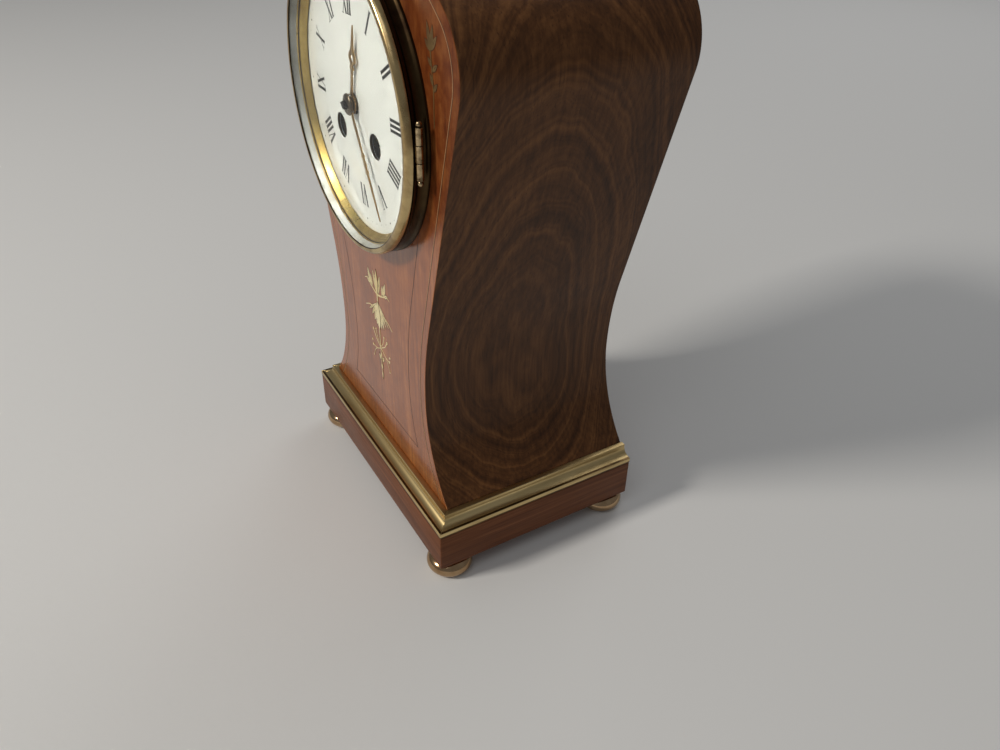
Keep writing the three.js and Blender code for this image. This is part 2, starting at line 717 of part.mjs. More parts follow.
// A spur wheel's outline with pointed teeth and flat roots, one tooth centred on the given bearing.
function gear(teeth, module, [x, z], degrees) {
  const pitch = (teeth * module) / 2;
  const step = (2 * Math.PI) / teeth;
  const first = THREE.MathUtils.degToRad(degrees);
  const corners = [
    [pitch - DEDENDUM * module, -TOOTH_SHARE],
    [pitch + ADDENDUM * module, 0],
    [pitch - DEDENDUM * module, TOOTH_SHARE],
  ];
  const points = Array.from({ length: teeth }, (_, i) =>
    corners.map(([radius, share]) => {
      const angle = first + (i + share) * step;
      return new THREE.Vector2(x + radius * Math.cos(angle), z + radius * Math.sin(angle));
    }),
  );
  return new THREE.Shape(points.flat());
}

// A wheel whose gap, not its tooth, faces the given bearing, so that it meshes with a tooth there.
function gapGear(teeth, module, place, degrees) {
  return gear(teeth, module, place, degrees + 180 / teeth);
}

const CANNON_MODULE = (2 * MOTION_DISTANCE) / (CANNON_TEETH + MINUTE_TEETH);
const HOUR_MODULE = (2 * MOTION_DISTANCE) / (MINUTE_PINION_TEETH + HOUR_TEETH);
const MINUTE_WHEEL_AT = [0, MOTION_DISTANCE];
const CANNON_Y1 = PLATE_Y - RUN;
const CANNON_Y0 = CANNON_Y1 - 2 * WHEEL_T;
const MINUTE_WHEEL_Y0 = CANNON_Y0 + WHEEL_T / 2;
const HOUR_WHEEL_Y1 = CANNON_Y0 - RUN;
const HOUR_WHEEL_Y0 = HOUR_WHEEL_Y1 - WHEEL_T;

// The motion work between the front plate and the dial: it drives the hour hand at a twelfth of the speed.
function makeMotionWork() {
  const bore = ARBOR_R + RUN;
  const pinion = plate(gear(CANNON_TEETH, CANNON_MODULE, CENTRE, 90), CANNON_Y0, CANNON_Y1);
  const pipe = rod(CANNON_R, -PIPE_F, CANNON_Y0 + GLUE);
  const pinF = COLLET_F + COLLET_H + TAPER_PIN_R + GLUE;
  const pinHole = new THREE.CylinderGeometry(TAPER_PIN_R + RUN / 2, TAPER_PIN_R + RUN / 2, 4 * CANNON_R, 8);
  const cross = solid(pinHole.rotateZ(Math.PI / 2).translate(0, -pinF, 0));
  const cannon = cut(join(pinion, pipe), rod(bore, -MINUTE_HAND_F, CANNON_Y1 + 1), cross);
  add(dialGroup, "cannon_pinion", cannon, "steel");

  const wheel = gapGear(MINUTE_TEETH, CANNON_MODULE, MINUTE_WHEEL_AT, -90);
  const drive = gear(MINUTE_PINION_TEETH, HOUR_MODULE, MINUTE_WHEEL_AT, -90);
  const wheelBack = MINUTE_WHEEL_Y0 + WHEEL_T;
  const minute = join(
    plate(wheel, MINUTE_WHEEL_Y0, wheelBack),
    plate(drive, HOUR_WHEEL_Y0, MINUTE_WHEEL_Y0 + GLUE),
  );
  const stud = rod(bore, HOUR_WHEEL_Y0 - 1, wheelBack + 1, MINUTE_WHEEL_AT);
  add(dialGroup, "minute_wheel", cut(minute, stud), "brass");

  const hourWheel = plate(gapGear(HOUR_TEETH, HOUR_MODULE, CENTRE, 90), HOUR_WHEEL_Y0, HOUR_WHEEL_Y1);
  const hourPipe = rod(HOUR_PIPE_R, -HOUR_HAND_F - HAND_T, HOUR_WHEEL_Y0 + GLUE);
  const hourBore = rod(HOUR_PIPE_IN, -HOUR_HAND_F - HAND_T - 1, HOUR_WHEEL_Y1 + 1);
  add(dialGroup, "hour_wheel", cut(join(hourWheel, hourPipe), hourBore), "brass");
}

function pillarPlaces() {
  return [1, -1].flatMap((side) => {
    const upper = towards([0, 0], PILLAR_RING, side * PILLAR_ANGLE);
    return [upper, mirrored(upper)];
  });
}

// Where two meshing wheels put the arbor that they share: it lies on both circles, on the upper side.
function meeting(a, fromA, b, fromB) {
  const apart = Math.hypot(b[0] - a[0], b[1] - a[1]);
  const turn = Math.acos((fromA ** 2 + apart ** 2 - fromB ** 2) / (2 * fromA * apart));
  return towards(a, fromA, bearing(a, b) + THREE.MathUtils.radToDeg(turn));
}

const CENTRE = [0, 0];
const GREAT_DISTANCE = ((GREAT_TEETH + PINION_TEETH) * GREAT_MODULE) / 2;
const WHEEL_DISTANCE = ((WHEEL_TEETH + PINION_TEETH) * TRAIN_MODULE) / 2;
const SMALL_DISTANCE = ((SMALL_WHEEL_TEETH + PINION_TEETH) * TRAIN_MODULE) / 2;
const PIN_DISTANCE = ((PIN_WHEEL_TEETH + PINION_TEETH) * TRAIN_MODULE) / 2;
const INTERMEDIATE = meeting(CENTRE, WHEEL_DISTANCE, GOING, GREAT_DISTANCE);
const THIRD = towards(CENTRE, WHEEL_DISTANCE, 110);
const ESCAPE = [0, THIRD[1] + Math.sqrt(SMALL_DISTANCE ** 2 - THIRD[0] ** 2)];
const PALLET = [0, ESCAPE[1] + ESCAPE_R * Math.SQRT2];
const STRIKE_SECOND = mirrored(INTERMEDIATE);
const PIN_WHEEL = towards(STRIKE_SECOND, SMALL_DISTANCE, 150);
const FLY = towards(PIN_WHEEL, PIN_DISTANCE, 60);
const HAMMER = [HAMMER_X, HAMMER_Z];
const PIN_RING = (PIN_WHEEL_TEETH * TRAIN_MODULE) / 2 - LIFT_PIN_INSET;
const TRAIN_ARBORS = [CENTRE, INTERMEDIATE, THIRD, ESCAPE, PALLET, STRIKE_SECOND, PIN_WHEEL, FLY, HAMMER];
const INNER_Y = PLATE_Y + PLATE_T;
const BACK_PLATE_Y = INNER_Y + PLATE_GAP;
const REAR_Y = BACK_PLATE_Y + PLATE_T;

function arborHoles(y0, y1) {
  const arbors = TRAIN_ARBORS.map((place) => rod(ARBOR_R + RUN, y0 - 1, y1 + 1, place, 6));
  const winders = WINDERS.map((place) => rod(WINDER_R + RUN, y0 - 1, y1 + 1, place));
  return [...arbors, ...winders];
}

function makePlates() {
  const pillarY = BACK_PLATE_Y - GLUE;
  const front = rod(PLATE_R, PLATE_Y, INNER_Y, CENTRE, BACK_ROUND);
  const pillars = pillarPlaces().map((place) =>
    join(rod(PILLAR_R, PLATE_Y + GLUE, pillarY, place), rod(PILLAR_R / 2, PLATE_Y + GLUE, REAR_Y, place, 6)),
  );
  const minuteStud = rod(ARBOR_R, HOUR_WHEEL_Y0, INNER_Y - GLUE, MINUTE_WHEEL_AT, 6);
  const clickStuds = WINDERS.map((place) => rod(ARBOR_R, CLICK_Y0, INNER_Y - GLUE, clickPivot(place), 6));
  const frontHoles = arborHoles(PLATE_Y, INNER_Y);
  const drilled = cut(front, ...frontHoles);
  add(dialGroup, "front_plate", join(drilled, ...pillars, minuteStud, ...clickStuds), "brass");

  const back = rod(PLATE_R, BACK_PLATE_Y, REAR_Y, CENTRE, BACK_ROUND);
  const tenons = pillarPlaces().map((place) =>
    rod(PILLAR_R / 2 + RUN, BACK_PLATE_Y - 1, REAR_Y + 1, place, 6),
  );
  add(dialGroup, "back_plate", cut(back, ...arborHoles(BACK_PLATE_Y, REAR_Y), ...tenons), "brass");
}

// An arbor with its pivots in both plates. It may reach further forwards or backwards.
function arbor(place, y0 = PLATE_Y + GLUE, y1 = REAR_Y - GLUE) {
  return rod(ARBOR_R, y0, y1, place, 6);
}

function depth(layer) {
  return INNER_Y + layer;
}

function wheelAt(shape, layer, thickness = WHEEL_T) {
  return plate(shape, depth(layer), depth(layer) + thickness);
}

function pinionAt(teethModule, place, degrees, layer) {
  return wheelAt(gapGear(PINION_TEETH, teethModule, place, degrees), layer - WHEEL_T / 2, 2 * WHEEL_T);
}

// Layers of the trains, behind the front plate
const CENTRE_LAYER = 1.2;
const SECOND_LAYER = 4.4;
const STRIKE_LAYER = 6.7;
const GREAT_LAYER = 8.4;
const THIRD_LAYER = 13;
const PIN_LAYER = 17;
const ESCAPE_LAYER = 20.5;

function makeBarrels() {
  const y0 = depth(GREAT_LAYER);
  for (const [place, next, name] of [
    [GOING, INTERMEDIATE, "going"],
    [STRIKE, STRIKE_SECOND, "strike"],
  ]) {
    const great = wheelAt(gear(GREAT_TEETH, GREAT_MODULE, place, bearing(place, next)), GREAT_LAYER);
    const drum = rod(BARREL_R, y0 + WHEEL_T - GLUE, y0 + BARREL_L, place, 24);
    const bore = rod(WINDER_R + RUN, y0 - 1, y0 + BARREL_L + 1, place);
    add(dialGroup, `${name}_barrel`, cut(join(great, drum), bore), "brass");
    add(dialGroup, `${name}_winder`, winder(place), "steel");
    add(dialGroup, `${name}_click`, click(place), "steel");
  }
}

const RATCHET_Y1 = PLATE_Y - RUN;
const RATCHET_Y0 = RATCHET_Y1 - WHEEL_T;
const CLICK_Y0 = RATCHET_Y0;

// A winding arbor: a rod through both plates, a ratchet in front of the front plate, and a square end.
function winder(place) {
  const step = 360 / RATCHET_TEETH;
  const hand = Math.sign(place[0]);
  const teeth = Array.from({ length: RATCHET_TEETH }, (_, i) => [
    towards(place, RATCHET_R - 1, hand * i * step),
    towards(place, RATCHET_R, hand * (i + 0.9) * step),
  ]).flat();
  const ratchet = new THREE.Shape(teeth.map(([x, z]) => new THREE.Vector2(x, z)));
  const half = WINDER_SQUARE / 2;
  const [x, z] = place;
  return join(
    rod(WINDER_R, RATCHET_Y0 - GLUE, REAR_Y - GLUE, place),
    plate(ratchet, RATCHET_Y0, RATCHET_Y1),
    box(x - half, x + half, RUN, RATCHET_Y0, z - half, z + half),
  );
}

function clickPivot(place) {
  return towards(place, RATCHET_R + CLICK_OUT, place[0] > 0 ? -65 : -115);
}

// A click on its stud, with its nose just off the ratchet's teeth.
function click(place) {
  const pivot = clickPivot(place);
  const nose = towards(place, RATCHET_R + 2 * RUN, -90 - Math.sign(place[0]) * 8);
  const heading = bearing(pivot, nose);
  const eye = ARBOR_R + RUN + 1;
  const shape = new THREE.Shape(
    [
      nose,
      towards(nose, 1.6, heading + 180 - 30),
      ...[60, 100, 140, 180, 220, 260, 300].map((turn) => towards(pivot, eye, heading + turn)),
      towards(nose, 1.6, heading + 180 + 30),
    ].map(([x, z]) => new THREE.Vector2(x, z)),
  );
  circleHole(shape, ARBOR_R + RUN, pivot);
  return plate(shape, CLICK_Y0, RATCHET_Y1, 4);
}

function makeGoingTrain() {
  const toGreat = bearing(INTERMEDIATE, GOING);
  const second = join(
    arbor(INTERMEDIATE),
    pinionAt(GREAT_MODULE, INTERMEDIATE, toGreat, GREAT_LAYER),
    wheelAt(gear(WHEEL_TEETH, TRAIN_MODULE, INTERMEDIATE, bearing(INTERMEDIATE, CENTRE)), SECOND_LAYER),
  );
  add(dialGroup, "intermediate_wheel", second, "brass");

  const centre = join(
    arbor(CENTRE, -HOUR_HAND_F),
    pinionAt(TRAIN_MODULE, CENTRE, bearing(CENTRE, INTERMEDIATE), SECOND_LAYER),
    wheelAt(gear(WHEEL_TEETH, TRAIN_MODULE, CENTRE, bearing(CENTRE, THIRD)), CENTRE_LAYER),
  );
  add(dialGroup, "centre_wheel", centre, "brass");

  const third = join(
    arbor(THIRD),
    pinionAt(TRAIN_MODULE, THIRD, bearing(THIRD, CENTRE), CENTRE_LAYER),
    wheelAt(gear(SMALL_WHEEL_TEETH, TRAIN_MODULE, THIRD, bearing(THIRD, ESCAPE)), THIRD_LAYER),
  );
  add(dialGroup, "third_wheel", third, "brass");

  const step = 360 / ESCAPE_TEETH;
  const teeth = Array.from({ length: ESCAPE_TEETH }, (_, i) => [
    towards(ESCAPE, ESCAPE_R - 2, 45 + (i + 0.1) * step),
    towards(ESCAPE, ESCAPE_R, 45 + (i + 0.5) * step),
    towards(ESCAPE, ESCAPE_R - 2, 45 + (i + 0.65) * step),
  ]).flat();
  const wheel = new THREE.Shape(teeth.map(([x, z]) => new THREE.Vector2(x, z)));
  const escape = join(
    arbor(ESCAPE),
    pinionAt(TRAIN_MODULE, ESCAPE, bearing(ESCAPE, THIRD), THIRD_LAYER),
    wheelAt(wheel, ESCAPE_LAYER),
  );
  add(dialGroup, "escape_wheel", escape, "brass");
}

const CRUTCH_Y = REAR_Y + CRUTCH_GAP;
const COCK_Y = CRUTCH_Y + CRUTCH_T + COCK_GAP;
const SPRING_Y0 = COCK_Y + COCK_T + SPRING_GAP;
const SPRING_Y1 = SPRING_Y0 + SPRING_W;
const ROD_Y0 = SPRING_Y1 + 2 * RUN;
const ROD_Y1 = ROD_Y0 + ROD_T;

// The anchor pallets on their arbor, with the crutch behind the back plate that takes the pendulum along.
function makePallets() {
  const [x, z] = PALLET;
  const reach = ESCAPE_R * Math.SQRT1_2;
  const half = [
    [1.2, 2],
    [reach + 2, -reach + 1.8],
    [reach + 1.4, -reach - 0.6],
    [reach + 0.4, -reach + 0.3],
    [reach - 0.1, -reach + 1.9],
    [0.6, -1.4],
  ];
  const outline = [...half, ...half.map(([dx, dz]) => [-dx, dz]).reverse()];
  const anchor = new THREE.Shape(outline.map(([dx, dz]) => new THREE.Vector2(x + dx, z + dz)));
  const gap = ROD_HALF + RUN;
  const foot = z - CRUTCH_L;
  const crutch = box(-CRUTCH_HALF, CRUTCH_HALF, CRUTCH_Y, CRUTCH_Y + CRUTCH_T, foot, z);
  const yoke = box(-gap - FORK_T, gap + FORK_T, CRUTCH_Y, CRUTCH_Y + CRUTCH_T, foot - FORK_L, foot + GLUE);
  const prongs = [-1, 1].map((side) => {
    const [x0, x1] = [side * gap, side * (gap + FORK_T)].sort((a, b) => a - b);
    return box(x0, x1, CRUTCH_Y, ROD_Y1 + FORK_T, foot - FORK_L, foot);
  });
  const body = join(
    arbor(PALLET, PLATE_Y + GLUE, COCK_Y + COCK_T - GLUE),
    wheelAt(anchor, ESCAPE_LAYER),
    rod(2, CRUTCH_Y, CRUTCH_Y + CRUTCH_T, PALLET),
    crutch,
    yoke,
    ...prongs,
  );
  add(dialGroup, "pallets", body, "steel");
}

function makeStrikeTrain() {
  const second = join(
    arbor(STRIKE_SECOND, PLATE_Y + GLUE, REAR_Y + 2),
    pinionAt(GREAT_MODULE, STRIKE_SECOND, bearing(STRIKE_SECOND, STRIKE), GREAT_LAYER),
    wheelAt(
      gear(SMALL_WHEEL_TEETH, TRAIN_MODULE, STRIKE_SECOND, bearing(STRIKE_SECOND, PIN_WHEEL)),
      STRIKE_LAYER,
    ),
  );
  add(dialGroup, "strike_second_wheel", second, "brass");

  const pins = Array.from({ length: LIFT_PINS }, (_, i) => {
    const place = towards(PIN_WHEEL, PIN_RING, (i * 360) / LIFT_PINS);
    return rod(LIFT_PIN_R, depth(PIN_LAYER) + GLUE, depth(PIN_LAYER) + LIFT_PIN_L, place, 4);
  });
  const pinWheel = join(
    arbor(PIN_WHEEL),
    pinionAt(TRAIN_MODULE, PIN_WHEEL, bearing(PIN_WHEEL, STRIKE_SECOND), STRIKE_LAYER),
    wheelAt(gear(PIN_WHEEL_TEETH, TRAIN_MODULE, PIN_WHEEL, bearing(PIN_WHEEL, FLY)), PIN_LAYER),
    ...pins,
  );
  add(dialGroup, "pin_wheel", pinWheel, "brass");

  const [x, z] = FLY;
  const vaneY = depth(ESCAPE_LAYER);
  const vane = box(x - FLY_HALF, x + FLY_HALF, vaneY, vaneY + FLY_L, z - FLY_T / 2, z + FLY_T / 2);
  const fly = join(arbor(FLY), vane, pinionAt(TRAIN_MODULE, FLY, bearing(FLY, PIN_WHEEL), PIN_LAYER));
  add(dialGroup, "fly", fly, "brass");
  add(dialGroup, "count_wheel", countWheel(), "brass");
}

// The count wheel has one slot after each hour's run of blows.
function countWheel() {
  const y0 = REAR_Y + COUNT_GAP;
  const bore = ARBOR_R + RUN;
  const blank = rod(COUNT_R, y0, y0 + COUNT_T, STRIKE_SECOND, 24);
  const blows = Array.from({ length: 12 }, (_, i) => i + 1);
  const turns = blows.map((hour) => ((hour * (hour + 1)) / 2 + hour) * 4);
  const slots = turns.map((degrees) => {
    const slot = new THREE.BoxGeometry(COUNT_SLOT_L, 4 * COUNT_T, COUNT_SLOT_W);
    slot.rotateY(-THREE.MathUtils.degToRad(degrees));
    const [x, z] = towards(STRIKE_SECOND, COUNT_R, degrees);
    return solid(slot.translate(x, y0, z));
  });
  return cut(blank, rod(bore, y0 - COUNT_T, y0 + 2 * COUNT_T, STRIKE_SECOND, 8), ...slots);
}

const BELL_Y = ROD_Y1 + BELL_CLEAR;
const BELL_APEX = BELL_Y + BELL_DEPTH;

// A flat bar of the given half width from one place to another.
function bar(from, to, half, y0, y1) {
  const heading = bearing(from, to);
  const corners = [towards(from, half, heading + 90), towards(from, half, heading - 90)];
  corners.push(towards(to, half, heading - 90), towards(to, half, heading + 90));
  return plate(new THREE.Shape(corners.map(([x, z]) => new THREE.Vector2(x, z))), y0, y1);
}

// The hammer stands just off the bell. Its tail reaches towards the pins of the pin wheel, which lift it.
function makeHammer() {
  const head = towards(CENTRE, BELL_R + HAMMER_R + HAMMER_GAP, HAMMER_ANGLE);
  const tail = towards(PIN_WHEEL, PIN_RING + 2 * HAMMER_TAIL_HALF, bearing(PIN_WHEEL, HAMMER));
  const tailY = depth(PIN_LAYER) + WHEEL_T + RUN;
  const armY = BELL_Y + HAMMER_ARM_IN;
  const armBack = armY + HAMMER_ARM_T;
  const body = join(
    arbor(HAMMER, PLATE_Y + GLUE, armBack + ARBOR_R / 2),
    rod(2 * HAMMER_ARM_HALF, armY, armBack, HAMMER),
    bar(HAMMER, head, HAMMER_ARM_HALF, armY, armBack),
    bar(HAMMER, tail, HAMMER_TAIL_HALF, tailY, tailY + HAMMER_TAIL_T),
    rod(HAMMER_R, BELL_Y, BELL_Y + HAMMER_T, head),
  );
  add(dialGroup, "hammer", body, "steel");
}

function makeBell() {
  const foot = [BELL_FOOT_X, -BELL_FOOT_DROP];
  const seat = BELL_APEX - BELL_WALL - GLUE;
  const armY = BELL_Y - BELL_ARM_CLEAR;
  const armBack = armY + BELL_ARM_T;
  const stand = join(
    rod(BELL_FOOT_R, REAR_Y + GLUE, REAR_Y + BELL_FOOT_T, foot, 16),
    rod(BELL_ARM_HALF, REAR_Y + BELL_FOOT_T / 2, armBack, foot),
    bar(foot, CENTRE, BELL_ARM_HALF, armY, armBack),
    rod(BELL_HUB_R, armY, seat, CENTRE),
    rod(BELL_STUD_R, armY, BELL_APEX + BELL_STUD_L, CENTRE),
  );
  add(dialGroup, "bell_stand", stand, "brass");

  const hole = BELL_STUD_R + RUN;
  const curve = arc(0, 0, 1, 0, Math.PI / 2, 3);
  const shell = (inset) =>
    curve.map(({ x, y }) => [
      BELL_BOSS + (BELL_R - inset - BELL_BOSS) * x,
      BELL_Y + (BELL_DEPTH - inset) * y,
    ]);
  const crown = [
    [hole, BELL_APEX],
    [hole, BELL_APEX - BELL_WALL],
  ];
  const profile = [...shell(0), ...crown, ...shell(BELL_WALL).reverse()];
  add(dialGroup, "bell", ring(profile, BACK_ROUND - 6), "silvered");

  const nut = cut(
    rod(BELL_NUT_R, BELL_APEX + GLUE, BELL_APEX + BELL_NUT_T, CENTRE, 6),
    rod(hole, BELL_APEX - BELL_NUT_T, BELL_APEX + 2 * BELL_NUT_T, CENTRE),
  );
  add(dialGroup, "bell_nut", nut, "brass");
}

// The bridge behind the back plate carries the rear pallet pivot, and its arm the suspension spring.
function makeSuspension() {
  const z = PALLET[1];
  const armZ0 = z + COCK_ARM_UP;
  const armZ1 = armZ0 + COCK_ARM_H;
  const legs = [-1, 1].map((side) => {
    const [x0, x1] = [side * (COCK_HALF - COCK_LEG_W), side * COCK_HALF].sort((a, b) => a - b);
    return box(x0, x1, REAR_Y + GLUE, COCK_Y + GLUE, z - COCK_LEG_DROP, z + COCK_LEG_RISE);
  });
  const bridgeZ = z - COCK_LEG_DROP - COCK_END;
  const bridge = box(-COCK_HALF, COCK_HALF, COCK_Y, COCK_Y + COCK_T, bridgeZ, armZ1);
  const arm = box(-COCK_ARM_HALF, COCK_ARM_HALF, COCK_Y, SPRING_Y1 + COCK_END, armZ0, armZ1);
  const slotZ = [armZ0 - COCK_END, armZ1 + COCK_END];
  const slot = box(-SPRING_SLOT_HALF, SPRING_SLOT_HALF, SPRING_Y0 - RUN, SPRING_Y1 + RUN, ...slotZ);
  const pivot = rod(ARBOR_R + RUN, COCK_Y - COCK_T, COCK_Y + 2 * COCK_T, PALLET, 8);
  add(dialGroup, "suspension_cock", cut(join(bridge, arm, ...legs), slot, pivot), "brass");

  const spring = join(
    box(-SPRING_HEAD_HALF, SPRING_HEAD_HALF, SPRING_Y0, SPRING_Y1, armZ1 + GLUE, armZ1 + SPRING_HEAD_H),
    box(-SPRING_HALF_T, SPRING_HALF_T, SPRING_Y0, SPRING_Y1, z, armZ1 + SPRING_HEAD_H / 2),
    box(-CHOPS_HALF, CHOPS_HALF, SPRING_Y0, SPRING_Y1, z - CHOPS_DROP, z + CHOPS_RISE),
    rod(ARBOR_R, SPRING_Y1 - ARBOR_R, ROD_Y1 + ARBOR_R, PALLET, 8),
  );
  add(dialGroup, "suspension_spring", spring, "steel");
}

function makePendulum() {
  const [, top] = PALLET;
  const bobZ = top - PENDULUM_L;
  const nutZ = bobZ - BOB_R - RUN;
  const tail = nutZ - NUT_T - ROD_TAIL;
  const middle = (ROD_Y0 + ROD_Y1) / 2;
  const eye = rod(ARBOR_R + RUN, ROD_Y0 - ROD_T, ROD_Y1 + ROD_T, PALLET, 8);
  const hook = cut(rod(HOOK_R, ROD_Y0, ROD_Y1, PALLET), eye);
  const flat = box(-ROD_HALF, ROD_HALF, ROD_Y0, ROD_Y1, bobZ - BOB_R, top - CHOPS_DROP);
  const screw = post(ROD_T / 2, tail, bobZ - BOB_R + 1, [0, middle], 8);
  add(dialGroup, "pendulum_rod", join(hook, flat, screw), "steel");

  const lens = arc(0, 0, 1, 0, Math.PI / 2, 3).map(({ x, y }) => [
    BOB_R * x,
    middle + BOB_RIM / 2 + (BOB_T / 2 - BOB_RIM / 2) * y,
  ]);
  const back = lens.map(([radius, y]) => [radius, 2 * middle - y]).reverse();
  const disc = turned([...back, ...lens], 20).translate([0, 0, bobZ]);
  const slotHalf = ROD_HALF + RUN;
  const slotT = ROD_T / 2 + RUN;
  const slot = box(-slotHalf, slotHalf, middle - slotT, middle + slotT, bobZ - 2 * BOB_R, bobZ + 2 * BOB_R);
  add(dialGroup, "pendulum_bob", cut(disc, slot), "brass");

  const nut = cut(
    post(NUT_R, nutZ - NUT_T, nutZ, [0, middle], 14),
    post(ROD_T / 2 + RUN, nutZ - NUT_T - 1, nutZ + 1, [0, middle], 8),
  );
  add(dialGroup, "rating_nut", nut, "brass");
}

const LIP_Y0 = CASE_D - BACK_T - BACK_LIP_T - GLUE;
const LIP_Y1 = LIP_Y0 + BACK_LIP_T;
const SLEEVE_R = BACK_HOLE_R - RUN;
const FLANGE_Y1 = CASE_D + GLUE + BACK_FLANGE_T;
const DOOR_Y0 = FLANGE_Y1 + GLUE;
const DOOR_HINGE = [-BACK_FLANGE_R + DOOR_HINGE_IN, DOOR_Y0 + DOOR_T / 2];
const DOOR_KNUCKLE = [-DOOR_KNUCKLE_L / 2, DOOR_KNUCKLE_L / 2];
const DOOR_HINGE_HALF = 1.5 * DOOR_KNUCKLE_L + BEZEL_GAP;
const RING_KNUCKLES = [
  [-DOOR_HINGE_HALF, -DOOR_HINGE_HALF + DOOR_KNUCKLE_L],
  [DOOR_HINGE_HALF - DOOR_KNUCKLE_L, DOOR_HINGE_HALF],
];
const STRAP_X1 = BOARD_HOLE_R - STRAP_INSET;
const STRAP_X0 = STRAP_X1 - STRAP_T;
const STRAP_SCREW_X = (BACK_LIP_R + SLEEVE_R - BACK_SLEEVE_T) / 2;

function doorKnuckle(z0, z1, grow = 0) {
  return post(DOOR_HINGE_R + grow, z0 - grow, z1 + grow, DOOR_HINGE, 12);
}

// The back ring lines the opening in the back board. Its inner lip takes the two strap screws.
function makeBack() {
  const inner = SLEEVE_R - BACK_SLEEVE_T;
  const section = ring(
    [
      [BACK_FLANGE_R, CASE_D + GLUE],
      [BACK_FLANGE_R, FLANGE_Y1],
      [inner, FLANGE_Y1],
      [inner, LIP_Y1],
      [BACK_LIP_R, LIP_Y1],
      [BACK_LIP_R, LIP_Y0],
      [SLEEVE_R, LIP_Y0],
      [SLEEVE_R, CASE_D + GLUE],
    ],
    BACK_ROUND,
  );
  const screwHoles = [1, -1].map((side) =>
    rod(SCREW_R + RUN, LIP_Y0 - 1, LIP_Y1 + 1, [side * STRAP_SCREW_X, 0], 8),
  );
  const pinHole = post(HINGE_PIN_R + RUN, -DOOR_HINGE_HALF - 1, DOOR_HINGE_HALF + 1, DOOR_HINGE, 8);
  const knuckles = RING_KNUCKLES.map(([z0, z1]) => doorKnuckle(z0, z1));
  const room = doorKnuckle(...DOOR_KNUCKLE, BEZEL_GAP);
  add(dialGroup, "back_ring", cut(join(section, ...knuckles), ...screwHoles, pinHole, room), "brass");

  const disc = turned(
    [
      [0, DOOR_Y0],
      [DOOR_R, DOOR_Y0],
      [DOOR_R, DOOR_Y0 + DOOR_T],
      [DOOR_R - DOOR_RIM, DOOR_Y0 + DOOR_T],
      [DOOR_R - DOOR_RIM - DOOR_BEVEL, DOOR_Y0 + DOOR_T + DOOR_CROWN],
      [0, DOOR_Y0 + DOOR_T + DOOR_CROWN],
    ],
    BACK_ROUND,
  );
  const leaf = box(DOOR_HINGE[0], -DOOR_R + DOOR_BEVEL, DOOR_Y0 + GLUE, DOOR_Y0 + DOOR_T, ...DOOR_KNUCKLE);
  const knobAt = [DOOR_R - KNOB_INSET, 0];
  const stem = rod(KNOB_STEM_R + RUN, DOOR_Y0 - DOOR_T, DOOR_Y0 + 2 * (DOOR_T + DOOR_CROWN), knobAt, 8);
  const door = cut(join(disc, leaf, doorKnuckle(...DOOR_KNUCKLE)), pinHole, stem);
  add(dialGroup, "back_door", door, "brass");

  const pinReach = DOOR_HINGE_HALF + DOOR_PIN_END;
  add(dialGroup, "door_hinge_pin", post(HINGE_PIN_R, -pinReach, pinReach, DOOR_HINGE, 8), "brass");

  const face = DOOR_Y0 + DOOR_T + DOOR_CROWN + GLUE;
  const knob = turned(
    [
      [0, DOOR_Y0 + GLUE],
      [KNOB_STEM_R, DOOR_Y0 + GLUE],
      [KNOB_STEM_R, face],
      [KNOB_R * 0.8, face],
      [KNOB_R * 0.6, face + KNOB_H * 0.25],
      [KNOB_R, face + KNOB_H * 0.6],
      [KNOB_R * 0.8, face + KNOB_H * 0.93],
      [0, face + KNOB_H],
    ],
    12,
  ).translate([knobAt[0], 0, knobAt[1]]);
  add(dialGroup, "door_knob", knob, "brass");
}

// Two straps run from the dial pan to the back ring, and pull the movement and both rings against the case.
function makeStraps() {
  for (const [side, name] of [
    [1, "right"],
    [-1, "left"],
  ]) {
    const span = (a, b) => [side * a, side * b].sort((p, q) => p - q);
    const tabX = STRAP_SCREW_X - SCREW_R - STRAP_TAB;
    const hole = rod(SCREW_R + RUN, LIP_Y0 - SCREW_L, LIP_Y0 + BACK_LIP_T, [side * STRAP_SCREW_X, 0], 8);
    const strap = join(
      box(...span(STRAP_X0, STRAP_X1), 0, LIP_Y0 - GLUE, -STRAP_HALF, STRAP_HALF),
      box(...span(STRAP_X0 - STRAP_FOOT, STRAP_X1), 0, STRAP_T, -STRAP_HALF, STRAP_HALF),
      box(...span(tabX, STRAP_X1), LIP_Y0 - GLUE - STRAP_T, LIP_Y0 - GLUE, -STRAP_HALF, STRAP_HALF),
    );
    add(dialGroup, `strap_${name}`, cut(strap, hole), "steel");

    const place = [side * STRAP_SCREW_X, 0];
    const screw = join(
      rod(2 * SCREW_R, LIP_Y1 + GLUE, LIP_Y1 + GLUE + SCREW_HEAD_T, place, 14),
      rod(SCREW_R, LIP_Y0 - SCREW_L, LIP_Y1 + SCREW_HEAD_T / 2, place, 8),
    );
    add(dialGroup, `strap_screw_${name}`, screw, "steel");
  }
}

makeCase();
makePlinth();
makeFeet();
makeSeat();
makeDial();
makeBezel();
makeHands();
makeMotionWork();
makePlates();
makeBarrels();
makeGoingTrain();
makePallets();
makeStrikeTrain();
makeHammer();
makeBell();
makeSuspension();
makePendulum();
makeBack();
makeStraps();

// The origin is at the bottom of the clock, under the middle of its depth.
const bounds = new THREE.Box3().setFromObject(clock);
clock.position.y = -(bounds.min.y + bounds.max.y) / 2;

export default clock;
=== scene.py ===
# %% [markdown]
# # A balloon mantel clock
# An inlaid mahogany case on a plinth, with a glazed bezel, an enamel dial and a striking movement. The frame
# brings every solid in at its true size and place. This lesson models the pieces that show with smooth
# outlines, and gives every surface its finish.

# %% Load the frame
import json
import math

import bpy
from mathutils import Matrix, Vector

